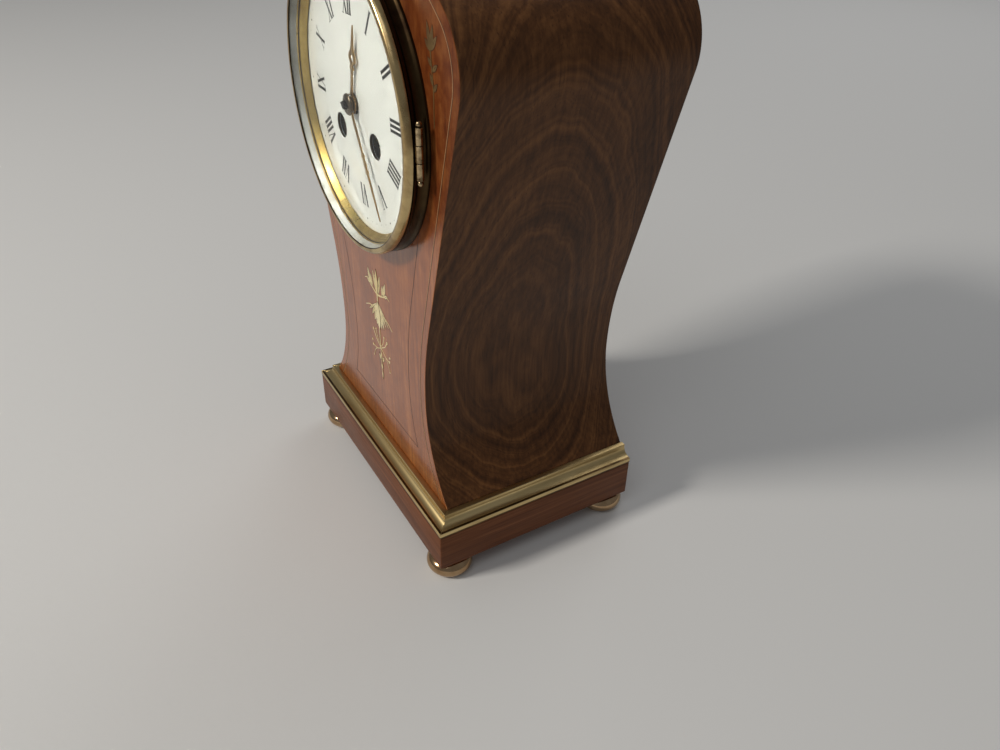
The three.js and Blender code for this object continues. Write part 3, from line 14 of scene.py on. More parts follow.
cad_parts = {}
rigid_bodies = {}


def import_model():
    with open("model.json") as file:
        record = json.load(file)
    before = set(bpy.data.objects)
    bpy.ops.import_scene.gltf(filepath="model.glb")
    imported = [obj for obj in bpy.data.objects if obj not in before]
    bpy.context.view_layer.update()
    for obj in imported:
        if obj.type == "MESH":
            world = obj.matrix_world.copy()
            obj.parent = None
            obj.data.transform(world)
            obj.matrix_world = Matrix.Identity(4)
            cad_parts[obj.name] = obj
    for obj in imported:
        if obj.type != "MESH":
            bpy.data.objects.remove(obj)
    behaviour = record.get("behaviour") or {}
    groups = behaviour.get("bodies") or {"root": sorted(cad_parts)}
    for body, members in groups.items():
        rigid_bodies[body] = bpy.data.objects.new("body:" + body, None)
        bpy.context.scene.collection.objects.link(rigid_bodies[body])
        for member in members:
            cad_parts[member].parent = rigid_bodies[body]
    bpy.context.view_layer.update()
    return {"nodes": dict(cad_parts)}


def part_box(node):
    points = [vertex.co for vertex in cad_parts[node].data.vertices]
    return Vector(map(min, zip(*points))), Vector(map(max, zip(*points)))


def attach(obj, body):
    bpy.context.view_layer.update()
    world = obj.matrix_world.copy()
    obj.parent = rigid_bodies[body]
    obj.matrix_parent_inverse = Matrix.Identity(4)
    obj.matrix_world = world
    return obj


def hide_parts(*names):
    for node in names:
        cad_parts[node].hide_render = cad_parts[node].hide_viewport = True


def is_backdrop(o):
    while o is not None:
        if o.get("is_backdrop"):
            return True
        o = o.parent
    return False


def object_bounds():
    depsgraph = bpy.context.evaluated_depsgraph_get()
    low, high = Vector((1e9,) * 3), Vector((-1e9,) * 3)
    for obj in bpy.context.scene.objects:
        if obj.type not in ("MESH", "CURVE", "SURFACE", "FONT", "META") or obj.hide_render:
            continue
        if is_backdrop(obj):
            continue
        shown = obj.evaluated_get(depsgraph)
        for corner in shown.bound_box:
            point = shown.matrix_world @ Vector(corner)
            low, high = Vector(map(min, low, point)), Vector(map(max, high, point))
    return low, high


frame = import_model()
MM = 0.001

# %% [markdown]
# ## Drawing by hand, in code
# Most pieces start as a line: the outline of a board, or the section of a turned ring. A point is pulled
# along straight lines with extrude and round arcs with spin. The line is filled, extruded or spun to a solid.

# %% Points, lines and arcs
MERGE = 1e-6
ALONG_X = Vector((1, 0, 0))
ALONG_Y = Vector((0, 1, 0))
ALONG_Z = Vector((0, 0, 1))
OUT = -ALONG_Y
UPRIGHT = (math.pi / 2, 0, 0)


def pick(action="SELECT"):
    bpy.ops.mesh.select_all(action=action)


def enter(mode):
    bpy.ops.object.mode_set(mode=mode)


def begin(name):
    """An empty mesh at the origin, in edit mode."""
    bpy.ops.object.select_all(action="DESELECT")
    bpy.ops.mesh.primitive_plane_add(size=MM)
    piece = bpy.context.object
    piece.name = name
    piece.data.name = name
    enter("EDIT")
    bpy.ops.mesh.delete(type="VERT")
    return piece


def point_at(place):
    pick("DESELECT")
    bpy.ops.mesh.primitive_plane_add(size=MM, location=place)
    bpy.ops.mesh.merge(type="CENTER")


def pull(step):
    bpy.ops.mesh.extrude_region_move(TRANSFORM_OT_translate={"value": step})


def draw(places, closed=False):
    """A line through the places, left selected. A closed one comes back to its start."""
    path = [Vector(place) for place in places]
    path += path[:1] if closed else []
    point_at(path[0])
    for here, there in zip(path, path[1:]):
        pull(there - here)
    bpy.ops.mesh.select_linked()
    if closed:
        bpy.ops.mesh.remove_doubles(threshold=MERGE)


def fill(places):
    draw(places, closed=True)
    bpy.ops.mesh.edge_face_add()


def sweep_to(turn, x, z, steps):
    """Pulls the end of a line round (x, z). A positive turn runs from X to Z."""
    bpy.ops.mesh.spin(steps=steps, angle=turn, center=(x, 0, z), axis=ALONG_Y)


def circle(place, radius, steps, **settings):
    bpy.ops.mesh.primitive_circle_add(
        vertices=steps, radius=radius, location=place, rotation=UPRIGHT, **settings
    )


def close_up():
    """Merges doubles, points the faces outwards and leaves edit mode."""
    pick()
    bpy.ops.mesh.remove_doubles(threshold=MERGE)
    bpy.ops.mesh.normals_make_consistent(inside=False)
    enter("OBJECT")


def make_thick(step):
    """Pulls all that is drawn to its thickness, and closes it up."""
    pick()
    pull(step)
    close_up()


def fill_and_thicken(step):
    """The same for outlines. Inner ones become holes."""
    pick()
    bpy.ops.mesh.fill()
    make_thick(step)


print("drawing helpers ready")


# %% Modifiers and shading
SHARP = math.radians(30)


def apply_modifier(piece, kind, **settings):
    bpy.ops.object.modifier_add(type=kind)
    modifier = piece.modifiers[-1]
    for key, value in settings.items():
        setattr(modifier, key, value)
    bpy.ops.object.modifier_apply(modifier=modifier.name)


def mirror(piece):
    """Adds the left half of a piece that is being drawn."""
    enter("OBJECT")
    apply_modifier(piece, "MIRROR", merge_threshold=10 * MERGE)
    enter("EDIT")


def soften(piece, width, segments=2, slot=-1):
    """Rounds the sharp edges, as polishing does."""
    apply_modifier(
        piece, "BEVEL", width=width, segments=segments, material=slot,
        limit_method="ANGLE", angle_limit=SHARP, use_clamp_overlap=False,
    )


def dress(piece, body, slot, materials, *nodes, smooth=40):
    """Shades a piece, and gives it its finish, its body and the solids that it stands for."""
    if smooth:
        bpy.ops.object.shade_smooth_by_angle(angle=math.radians(smooth))
    for material in materials:
        piece.data.materials.append(material)
    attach(piece, body)
    if nodes:
        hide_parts(*nodes)
    print(piece.name, "rides on", body, "with", len(piece.data.polygons), "faces")


def turned(name, section, centre, axis, steps=128, unit=MM):
    """A section of (radius, distance along the axis), drawn once and spun all round the axis."""
    piece = begin(name)
    draw([centre + ALONG_X * (radius * unit) + axis * (along * unit) for radius, along in section])
    bpy.ops.mesh.spin(steps=steps, angle=math.tau, center=centre, axis=axis)
    close_up()
    return piece


def bend(x, y, wide, high, start, end, steps):
    """Points of a part of an ellipse, as (x, y), from one angle in degrees to another."""
    angles = [math.radians(start + (end - start) * i / steps) for i in range(steps + 1)]
    return [(x + wide * math.cos(a), y + high * math.sin(a)) for a in angles]


print("finishing helpers ready")

# %% [markdown]
# ## Finishes
# Polished mahogany, aged brass, enamel and old glass get their look from small changes over the surface:
# fibres and pores in the wood, smudges and fine scratches in the polish. Two node groups make those patterns
# once, and each finish uses them with its own colours and stretch.

# %% Node helpers
def wire(tree, value, socket):
    if isinstance(value, bpy.types.NodeSocket):
        tree.links.new(value, socket)
    else:
        socket.default_value = value


def put(tree, kind, **inputs):
    node = tree.nodes.new("ShaderNode" + kind)
    for key, value in inputs.items():
        wire(tree, value, node.inputs[key.replace("_", " ")])
    return node


def calc(tree, operation, *values):
    node = put(tree, "Math")
    node.operation = operation
    for value, socket in zip(values, node.inputs):
        wire(tree, value, socket)
    return node.outputs[0]


def scaled(tree, value, factor, start):
    return calc(tree, "MULTIPLY_ADD", value, factor, start)


def mix(tree, factor, first, second):
    node = put(tree, "Mix")
    node.data_type = "RGBA"
    for value, socket in zip((factor, first, second), (node.inputs[0], node.inputs[6], node.inputs[7])):
        wire(tree, (*value, 1) if isinstance(value, tuple) else value, socket)
    return node.outputs[2]


def ramp(tree, factor, *stops):
    node = put(tree, "ValToRGB", Fac=factor)
    elements = node.color_ramp.elements
    while len(elements) < len(stops):
        elements.new(0.5)
    for element, (position, colour) in zip(elements, stops):
        element.position = position
        element.color = (*colour, 1)
    return node.outputs["Color"]


def steps_between(tree, value, low, high):
    """0 below low, 1 above high, and a slope between them."""
    return put(tree, "MapRange", Value=value, From_Min=low, From_Max=high).outputs["Result"]


def here_in(tree):
    """The place on the piece, in metres from the shared origin."""
    return put(tree, "TexCoord").outputs["Object"]


def stretched(tree, scale=(1, 1, 1)):
    return put(tree, "Mapping", Vector=here_in(tree), Scale=scale).outputs["Vector"]


def noise(tree, vector, scale, detail=2.0, roughness=0.5):
    settings = dict(Vector=vector, Scale=scale, Detail=detail, Roughness=roughness)
    return put(tree, "TexNoise", **settings).outputs["Fac"]


print("node helpers ready")


# %% Shared effects: wood grain and handling
def effect(name, outputs):
    tree = bpy.data.node_groups.new(name, "ShaderNodeTree")
    tree.interface.new_socket("Vector", in_out="INPUT", socket_type="NodeSocketVector")
    for output in outputs:
        tree.interface.new_socket(output, in_out="OUTPUT", socket_type="NodeSocketFloat")
    start = tree.nodes.new("NodeGroupInput").outputs["Vector"]
    return tree, start, tree.nodes.new("NodeGroupOutput").inputs


def wood_grain():
    """Fibres, open pores and slow bands of colour, for a vector that counts in fibre widths."""
    tree, start, ends = effect("wood_grain", ("Fibres", "Pores", "Bands"))
    tree.links.new(noise(tree, start, 1.0, 7.0, 0.62), ends["Fibres"])
    pores = noise(tree, start, 2.4, 2.0, 0.6)
    tree.links.new(steps_between(tree, pores, 0.6, 0.72), ends["Pores"])
    tree.links.new(noise(tree, start, 0.07, 3.0, 0.55), ends["Bands"])
    return tree


def handling():
    """Smudges in the polish and fine straight scratches, for a vector in metres."""
    tree, start, ends = effect("handling", ("Smudges", "Scratches"))
    tree.links.new(noise(tree, start, 70.0, 5.0, 0.6), ends["Smudges"])
    one_way = put(tree, "Mapping", Vector=start, Scale=(2600, 60, 60), Rotation=(0.4, 0.3, 0.9))
    other_way = put(tree, "Mapping", Vector=start, Scale=(60, 60, 2600), Rotation=(0.2, 0.6, 0.1))
    lines = [noise(tree, way.outputs["Vector"], 1.0, 1.0) for way in (one_way, other_way)]
    scratches = calc(tree, "MAXIMUM", *lines)
    tree.links.new(steps_between(tree, scratches, 0.7, 0.8), ends["Scratches"])
    return tree


WOOD_GRAIN = wood_grain()
HANDLING = handling()


def use(tree, group, vector):
    node = put(tree, "Group")
    node.node_tree = group
    tree.links.new(vector, node.inputs["Vector"])
    return node.outputs


def new_finish(name):
    material = bpy.data.materials.new(name)
    material.use_nodes = True
    return material, material.node_tree


def surface(material, **inputs):
    shader = material.node_tree.nodes["Principled BSDF"]
    for key, value in inputs.items():
        wire(material.node_tree, value, shader.inputs[key.replace("_", " ")])
    return material


def relief(tree, height, depth, strength=1.0):
    """A normal for a height of 0 to 1 that stands for this depth in metres."""
    return put(tree, "Bump", Height=height, Distance=depth, Strength=strength).outputs["Normal"]


print("effects", WOOD_GRAIN.name, HANDLING.name)

# %% [markdown]
# ### Mahogany
# The front is reddish, with upright grain; the plinth has its grain lengthways. The darker sides are cut
# across the growth rings, so that ovals spread up and out from a spot low on each side. A clear coat over
# rougher wood gives the shine. Low on the front it looks hazy. By the dial the coat thins, and the colour is
# darkened as a painted shade for the shadow beside the bezel.

# %% Mahogany finishes
# Painted shade: from this height up the front's colour is darkened, and its coat thins.
DEEP_Z = (158 * MM, 180 * MM)
PAINTED_SHADE_BY_DIAL = 0.7
HAZY_COAT = 0.95
DEEP_COAT = 0.05
FIBRE_SHARE = 0.55
PORE_SHADE = 0.55
WOOD_ROUGH = 0.26
SMUDGE_ROUGH = 0.22
GRAIN_DEPTH = 0.03 * MM
GRAIN_STRENGTH = 0.35
BRIGHT_POLISH = dict(Coat_Weight=0.5, Coat_Roughness=0.16, IOR=1.5, Coat_IOR=1.5)
FRONT_POLISH = dict(Coat_Roughness=0.16, IOR=1.2, Coat_IOR=1.5)
SIDE_POLISH = dict(Coat_Weight=0.2, Coat_Roughness=0.09, IOR=1.22, Coat_IOR=1.45)
TIRED_POLISH = dict(Coat_Weight=0.08, Coat_Roughness=0.3, IOR=1.2, Coat_IOR=1.4)


def by_dial(tree):
    """0 on the lower front, and 1 from the lower edge of the bezel up."""
    height = put(tree, "SeparateXYZ", Vector=here_in(tree)).outputs["Z"]
    return steps_between(tree, height, *DEEP_Z)


def polished_wood(
    name, stretch, dark, middle, light, figure=None, share=0.3, polish=BRIGHT_POLISH, deep=None
):
    material, tree = new_finish(name)
    grain = use(tree, WOOD_GRAIN, stretched(tree, stretch))
    marks = use(tree, HANDLING, stretched(tree))
    bands = calc(tree, "MULTIPLY", grain["Bands"], 1 - FIBRE_SHARE)
    tone = scaled(tree, grain["Fibres"], FIBRE_SHARE, bands)
    if figure:
        tone = scaled(tree, figure(tree), share, calc(tree, "MULTIPLY", tone, 1 - share))
    colour = ramp(tree, tone, (0.3, dark), (0.5, middle), (0.7, light))
    colour = mix(tree, calc(tree, "MULTIPLY", grain["Pores"], PORE_SHADE), colour, dark)
    # Painted shade: from the bezel up, the colour is pulled towards the dark tone.
    if deep:
        depth = deep(tree)
        colour = mix(tree, calc(tree, "MULTIPLY", depth, PAINTED_SHADE_BY_DIAL), colour, dark)
        polish = dict(polish, Coat_Weight=scaled(tree, depth, DEEP_COAT - HAZY_COAT, HAZY_COAT))
    rough = scaled(tree, marks["Smudges"], SMUDGE_ROUGH, WOOD_ROUGH)
    height = calc(tree, "SUBTRACT", grain["Fibres"], grain["Pores"])
    normal = relief(tree, height, GRAIN_DEPTH, GRAIN_STRENGTH)
    return surface(material, Base_Color=colour, Roughness=rough, Normal=normal, **polish)


RING_Y = -4 * MM
RING_Z = 88 * MM
RING_AREA = 260 * MM**2
RING_WANDER = 6.0
STRETCH_ABOVE = 0.38
STRETCH_BELOW = 0.8
MOTTLE_LEAST = 0.2


def growth_rings(tree):
    """Ovals about a spot on the side, long above it, with equal areas between them."""
    parts = put(tree, "SeparateXYZ", Vector=here_in(tree)).outputs
    across = calc(tree, "SUBTRACT", parts["Y"], RING_Y)
    up = calc(tree, "SUBTRACT", parts["Z"], RING_Z)
    above = calc(tree, "MULTIPLY", calc(tree, "MAXIMUM", up, 0.0), STRETCH_ABOVE)
    below = calc(tree, "MULTIPLY", calc(tree, "MINIMUM", up, 0.0), STRETCH_BELOW)
    tall = calc(tree, "ADD", above, below)
    squares = scaled(tree, across, across, calc(tree, "MULTIPLY", tall, tall))
    wander = noise(tree, stretched(tree, (24, 24, 12)), 1.0, 3.0, 0.5)
    count = scaled(tree, wander, RING_WANDER, calc(tree, "DIVIDE", squares, RING_AREA))
    uneven = noise(tree, put(tree, "CombineXYZ", X=count).outputs["Vector"], 1.0, 3.0, 0.6)
    return steps_between(tree, uneven, 0.3, 0.7)


def mottle(tree):
    """Small clouds, as light catches in figured veneer. They fade out below the dial."""
    clouds = noise(tree, stretched(tree, (170, 170, 120)), 1.0, 4.0, 0.6)
    caught = calc(tree, "SUBTRACT", steps_between(tree, clouds, 0.32, 0.68), 0.5)
    strength = scaled(tree, by_dial(tree), 1 - MOTTLE_LEAST, MOTTLE_LEAST)
    return scaled(tree, caught, strength, 0.5)


MAHOGANY = polished_wood(
    "mahogany", (620, 620, 15), (0.09, 0.019, 0.005), (0.3, 0.082, 0.017), (0.56, 0.2, 0.05), mottle, 0.36,
    FRONT_POLISH, by_dial,
)
MAHOGANY_SIDE = polished_wood(
    "mahogany_side", (560, 560, 18), (0.025, 0.0083, 0.0022), (0.092, 0.035, 0.0105), (0.19, 0.079, 0.025),
    growth_rings, polish=SIDE_POLISH,
)
MAHOGANY_PLINTH = polished_wood(
    "mahogany_plinth", (15, 15, 620), (0.052, 0.0145, 0.0055), (0.155, 0.052, 0.019), (0.285, 0.105, 0.041),
    polish=TIRED_POLISH,
)
# Partly wear and partly a painted highlight: a paler colour for the front board's rounded corner.
MAHOGANY_WORN_AND_LIT = polished_wood(
    "mahogany_worn_lit_edge", (60, 60, 60), (0.12, 0.04, 0.016), (0.42, 0.22, 0.11), (0.78, 0.58, 0.38)
)
print("wood finishes", MAHOGANY.name, MAHOGANY_SIDE.name, MAHOGANY_PLINTH.name)

# %% [markdown]
# ### Metal, enamel and glass
# Old brass is bright where cloths reach it and brown where they don't, so each brass mixes a clean and a dull
# colour by its smudges. Enamel is smooth, a little creamy and speckled. The bezel's glass lets lamp light
# straight through, so that the dial behind it isn't left dark.

# %% Metal finishes
DULL_FROM = 0.38
DULL_TO = 0.68
DULL_ROUGH = 0.16
SCRATCH_SHADE = 0.35
SCRATCH_DEPTH = 0.01 * MM
SCRATCH_STRENGTH = 0.4


def metal(name, clean, dull, roughness, stretch=(1, 1, 1), metallic=1.0):
    material, tree = new_finish(name)
    marks = use(tree, HANDLING, stretched(tree, stretch))
    age = steps_between(tree, marks["Smudges"], DULL_FROM, DULL_TO)
    colour = mix(tree, age, clean, dull)
    colour = mix(tree, calc(tree, "MULTIPLY", marks["Scratches"], SCRATCH_SHADE), colour, dull)
    rough = scaled(tree, age, DULL_ROUGH, roughness)
    normal = relief(tree, marks["Scratches"], SCRATCH_DEPTH, SCRATCH_STRENGTH)
    return surface(material, Base_Color=colour, Roughness=rough, Normal=normal, Metallic=metallic)


BRASS = metal("brass", (0.72, 0.52, 0.22), (0.4, 0.25, 0.09), 0.22)
BRASS_MOULDING = metal("brass_moulding", (0.72, 0.55, 0.27), (0.4, 0.28, 0.12), 0.3, (0.25, 0.25, 3))
BRASS_EDGE = metal("brass_edge", (0.88, 0.75, 0.46), (0.5, 0.38, 0.18), 0.26)
BRASS_FEET = metal("brass_feet", (0.52, 0.36, 0.21), (0.3, 0.17, 0.08), 0.12)
BRASS_BEZEL = metal("brass_bezel", (0.6, 0.45, 0.22), (0.24, 0.15, 0.065), 0.2)
BRASS_HINGE = metal("brass_hinge", (0.5, 0.38, 0.22), (0.07, 0.042, 0.02), 0.16, (5, 5, 5))
BRASS_DARK = metal("brass_dark", (0.16, 0.095, 0.038), (0.045, 0.025, 0.011), 0.28)
# Painted shade: a near-black brass for the seat and the bezel's lower band, which lie in shade.
BRASS_PAINTED_SHADE = metal("brass_painted_shade", (0.06, 0.037, 0.016), (0.018, 0.01, 0.005), 0.3)
BRONZE = metal("bronze", (0.26, 0.21, 0.15), (0.1, 0.075, 0.05), 0.16)
GILT = metal("gilt", (0.6, 0.43, 0.14), (0.34, 0.22, 0.06), 0.26)
HAND_GILT = metal("hand_gilt", (0.5, 0.33, 0.15), (0.26, 0.15, 0.06), 0.25)
SILVERED = metal("silvered", (0.54, 0.54, 0.515), (0.4, 0.385, 0.345), 0.5)
STEEL = metal("steel", (0.42, 0.42, 0.43), (0.2, 0.19, 0.18), 0.28)
STEEL_DARK = metal("steel_dark", (0.09, 0.085, 0.08), (0.03, 0.028, 0.026), 0.35)
INLAY_BRASS = metal("inlay_brass", (0.95, 0.83, 0.5), (0.74, 0.58, 0.28), 0.4, metallic=0.3)
# Painted shade: a darker inlay brass for the shoulder sprays, which lie in shade above the dial.
INLAY_SHADED = metal("inlay_painted_shade", (0.23, 0.15, 0.055), (0.12, 0.066, 0.02), 0.4, metallic=0.3)
print("metals", BRASS.name, GILT.name, SILVERED.name, STEEL.name)

# %% Enamel, paint and glass
CREAM = ((0.7, 0.695, 0.65), (0.64, 0.625, 0.575))
SPECK = (0.35, 0.31, 0.25)
SPECK_SHADE = 0.3
GLASS_TINT = (0.97, 0.985, 0.98, 1)
GLASS_SHADOW = (0.94, 0.96, 0.95, 1)
GLASS_IOR = 1.47
GLASS_SHINE = 0.25


def enamel_finish():
    material, tree = new_finish("enamel")
    here = stretched(tree)
    marks = use(tree, HANDLING, here)
    specks = steps_between(tree, noise(tree, here, 900.0, 1.0), 0.76, 0.8)
    colour = mix(tree, marks["Smudges"], *CREAM)
    colour = mix(tree, calc(tree, "MULTIPLY", specks, SPECK_SHADE), colour, SPECK)
    rough = scaled(tree, marks["Smudges"], 0.08, 0.06)
    normal = relief(tree, noise(tree, here, 160.0, 1.0), 0.02 * MM, 0.25)
    return surface(material, Base_Color=colour, Roughness=rough, Normal=normal, Coat_Weight=0.5)


def paint_finish(name, colour, worn, ior=1.5):
    material, tree = new_finish(name)
    marks = use(tree, HANDLING, stretched(tree, (6, 6, 6)))
    shown = mix(tree, marks["Smudges"], colour, worn)
    rough = scaled(tree, marks["Smudges"], 0.2, 0.25)
    return surface(material, Base_Color=shown, Roughness=rough, IOR=ior)


def blend(tree, share, first, second):
    """Mixes two shaders by the second one's share."""
    node = put(tree, "MixShader", Fac=share)
    tree.links.new(first.outputs[0], node.inputs[1])
    tree.links.new(second.outputs[0], node.inputs[2])
    return node


def glass_finish():
    """Mostly clear, with a quarter of a plain pane's reflections."""
    material, tree = new_finish("bezel_glass")
    marks = use(tree, HANDLING, stretched(tree))
    rough = calc(tree, "MULTIPLY", marks["Smudges"], 0.03)
    surface(material, Base_Color=GLASS_TINT, Roughness=rough, Transmission_Weight=1.0, IOR=GLASS_IOR)
    clear = put(tree, "BsdfRefraction", Color=GLASS_TINT, IOR=GLASS_IOR, Roughness=0.0)
    seen = blend(tree, GLASS_SHINE, clear, tree.nodes["Principled BSDF"])
    through = put(tree, "BsdfTransparent", Color=GLASS_SHADOW)
    both = blend(tree, put(tree, "LightPath").outputs["Is Shadow Ray"], seen, through)
    tree.links.new(both.outputs["Shader"], tree.nodes["Material Output"].inputs["Surface"])
    return material


ENAMEL = enamel_finish()
DIAL_BLACK = paint_finish("dial_black", (0.008, 0.008, 0.009), (0.025, 0.024, 0.023), 1.2)
LINE_DARK = paint_finish("line_dark", (0.05, 0.019, 0.01), (0.1, 0.04, 0.02), 1.3)
LINE_LIGHT = paint_finish("line_light", (0.5, 0.3, 0.13), (0.3, 0.13, 0.05))
GLASS = glass_finish()
print("dial and glass finishes", ENAMEL.name, DIAL_BLACK.name, GLASS.name)

# %% [markdown]
# ## The case outline
# The balloon is a chain of tangent arcs: a tight hollow from the base up to the waist, a wide hollow above
# it, a straight flank, a round shoulder and the crown. Spin keeps each arc a true circle, and an inset draws
# the same chain further in, for the inside of the walls and for the inlaid lines.

# %% Draw half a balloon
board_low, board_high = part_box("front_board")
FACE = board_low.y
CASE_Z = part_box("moulding_front")[1].z
BASE_HALF = 64.2 * MM
WAIST_HALF = 45.7 * MM
WAIST_Z = CASE_Z + 48.1 * MM
UPPER_WAIST_R = 137 * MM
HEAD_HALF = 79.12 * MM
HEAD_Z = CASE_Z + 190.5 * MM
SHOULDER_R = 26.6 * MM
CROWN_R = 112 * MM
WALL = 6 * MM
RISE = WAIST_Z - CASE_Z
FLARE = BASE_HALF - WAIST_HALF
LOWER_R = (FLARE**2 + RISE**2) / (2 * FLARE)
SHOULDER_X = HEAD_HALF - SHOULDER_R
CROWN_Z = HEAD_Z - math.sqrt((CROWN_R - SHOULDER_R) ** 2 - SHOULDER_X**2)
CROWN_START = math.atan2(HEAD_Z - CROWN_Z, SHOULDER_X)
UPPER_X = WAIST_HALF + UPPER_WAIST_R
REACH = math.hypot(UPPER_X - SHOULDER_X, HEAD_Z - WAIST_Z)
FLANK = math.atan2(HEAD_Z - WAIST_Z, UPPER_X - SHOULDER_X) - math.acos((SHOULDER_R + UPPER_WAIST_R) / REACH)
ARC_STEPS = 36
UPPER_STEPS = 20


def half_width(inset, z):
    """How far the lower sweep is from the middle at this height."""
    return WAIST_HALF + LOWER_R - math.sqrt((LOWER_R + inset) ** 2 - (WAIST_Z - z) ** 2)


def half_balloon(inset, y, foot):
    """The right half of the outline, from its foot up to the middle of the crown."""
    start = max(foot, CASE_Z)
    point_at((half_width(inset, start), y, foot))
    if foot < CASE_Z:
        pull((0, 0, CASE_Z - foot))
    lower = math.asin((WAIST_Z - start) / (LOWER_R + inset))
    sweep_to(-lower, WAIST_HALF + LOWER_R, WAIST_Z, ARC_STEPS)
    sweep_to(-FLANK, UPPER_X, WAIST_Z, UPPER_STEPS)
    hollow, shoulder = UPPER_WAIST_R + inset, SHOULDER_R - inset
    across = SHOULDER_X - WAIST_HALF - UPPER_WAIST_R + (shoulder + hollow) * math.cos(FLANK)
    pull((across, 0, HEAD_Z - WAIST_Z - (shoulder + hollow) * math.sin(FLANK)))
    sweep_to(FLANK + CROWN_START, SHOULDER_X, HEAD_Z, ARC_STEPS)
    sweep_to(math.pi / 2 - CROWN_START, 0, CROWN_Z, ARC_STEPS)


def half_band(outer, inner, y, foot):
    """The strip between the half outlines at two insets."""
    half_balloon(outer, y, foot)
    half_balloon(inner, y, foot)
    pick()
    bpy.ops.mesh.bridge_edge_loops()


print("crown", round((CROWN_Z + CROWN_R) / MM, 2), "mm, frame", round(board_high.z / MM, 2), "mm")

# %% [markdown]
# ### Boards and sides
# Both boards are the filled outline with a round opening, pulled to their thickness. The sides are two
# outlines bridged and pulled between the boards. Veneer runs over the edges of both boards, so these take the
# side's finish. The front corner is rounded and paler, partly wear and partly a painted highlight.

# %% Front and back boards
SEEN_EDGE = 0.5
DIAL_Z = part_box("dial")[0].z / 2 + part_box("dial")[1].z / 2
HOLE_R = 47 * MM
HOLE_STEPS = 96
FRONT_CORNER = 0.35 * MM
BACK_CORNER = 0.5 * MM


def select_foot(piece, height):
    """Selects the points of a piece that are at this height or below."""
    pick("DESELECT")
    enter("OBJECT")
    for vertex in piece.data.vertices:
        vertex.select = vertex.co.z < height + MERGE
    enter("EDIT")


def make_board(name, node, slot, finishes, corner):
    low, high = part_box(node)
    board = begin(name)
    half_balloon(0, low.y, low.z)
    mirror(board)
    select_foot(board, low.z)
    bpy.ops.mesh.edge_face_add()
    circle((0, low.y, DIAL_Z), HOLE_R, HOLE_STEPS)
    fill_and_thicken((0, high.y - low.y, 0))
    for face in board.data.polygons:
        face.material_index = 1 if abs(face.normal.y) < SEEN_EDGE else 0
    soften(board, corner, 2, 2)
    dress(board, "case", slot, finishes, node, smooth=20)


FRONT_FINISHES = (MAHOGANY, MAHOGANY_SIDE, MAHOGANY_WORN_AND_LIT)
make_board("board_front", "front_board", "mahogany", FRONT_FINISHES, FRONT_CORNER)
make_board("board_back", "back_board", "mahogany_side", (MAHOGANY_SIDE,) * 3, BACK_CORNER)

# %% Sides and top, in one sweep
# They lap over the softened inner corners of both boards, so that no seam shows.
front = board_high.y - FRONT_CORNER
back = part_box("back_board")[0].y + BACK_CORNER
sides = begin("case_sides")
half_band(0, WALL, front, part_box("case_wrap")[0].z)
mirror(sides)
make_thick((0, back - front, 0))
dress(sides, "case", "mahogany_side", (MAHOGANY_SIDE,), "case_wrap", smooth=20)

# %% [markdown]
# ## Plinth, moulding and feet
# The plinth is a plain veneered block. Its brass moulding is one section, drawn once for each side: a square
# fillet, a hollow and a bead. Each run is pulled along its side and cut off on the mitre with bisect. The
# quirk above the fillet and the foot of the fillet by the joint are darker. The bun feet are turned.

# %% Plinth
plinth_low, plinth_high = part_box("plinth")
PLINTH_EDGE = 0.7 * MM


def make_block(place, size, edge, segments=2):
    """A block with softened edges, for the piece that is being drawn."""
    bpy.ops.mesh.primitive_cube_add(size=1, location=place, scale=size)
    close_up()
    soften(bpy.context.object, edge, segments)


plinth = begin("plinth_block")
make_block((plinth_low + plinth_high) / 2, plinth_high - plinth_low, PLINTH_EDGE, 3)
dress(plinth, "case", "mahogany", (MAHOGANY_PLINTH,), "plinth", smooth=20)

# %% Brass moulding on three sides
FILLET = 2.8 * MM
QUIRK = 0.8 * MM
HOLLOW_W = 4.2 * MM
HOLLOW_H = 3.3 * MM
BEAD_H = 1.7 * MM
BRASS_ROUND = 0.28 * MM
QUIRK_BAND_H = 0.03 * MM
FOOT_BAND_H = 0.9 * MM
LEVEL = 0.9
OUTWARD = -0.1


def moulding_section(depth):
    """(in from the plinth's edge, up from its top) round the section."""
    hollow = bend(QUIRK, FILLET + HOLLOW_H, HOLLOW_W, HOLLOW_H, -90, 0, 14)
    top = FILLET + HOLLOW_H + BEAD_H
    return [(0, 0), (0, FOOT_BAND_H), (0, FILLET), *hollow, (QUIRK + HOLLOW_W, top), (depth, top), (depth, 0)]


def make_moulding(side, edge, inwards, along, mitres):
    """A run of the section from a start on the plinth's top edge, cut off square or on the mitre."""
    node = f"moulding_{side}"
    run = begin(f"moulding_run_{side}")
    depth = abs((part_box(node)[1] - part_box(node)[0]).dot(inwards))
    fill([edge + inwards * u + ALONG_Z * h for u, h in moulding_section(depth)])
    pull(along)
    for place, outside in mitres:
        pick()
        bpy.ops.mesh.bisect(plane_co=place, plane_no=outside, use_fill=True, clear_outer=True)
    close_up()
    soften(run, BRASS_ROUND, 3, 1)
    for face in run.data.polygons:
        height = face.center.z - edge.z
        quirk = abs(height - FILLET) < QUIRK_BAND_H and face.normal.z > LEVEL and face.material_index == 0
        joint = height < FOOT_BAND_H and face.normal.dot(inwards) < OUTWARD
        if quirk or joint:
            face.material_index = 2
    dress(run, "case", "brass", (BRASS_MOULDING, BRASS_EDGE, BRASS_DARK), node)


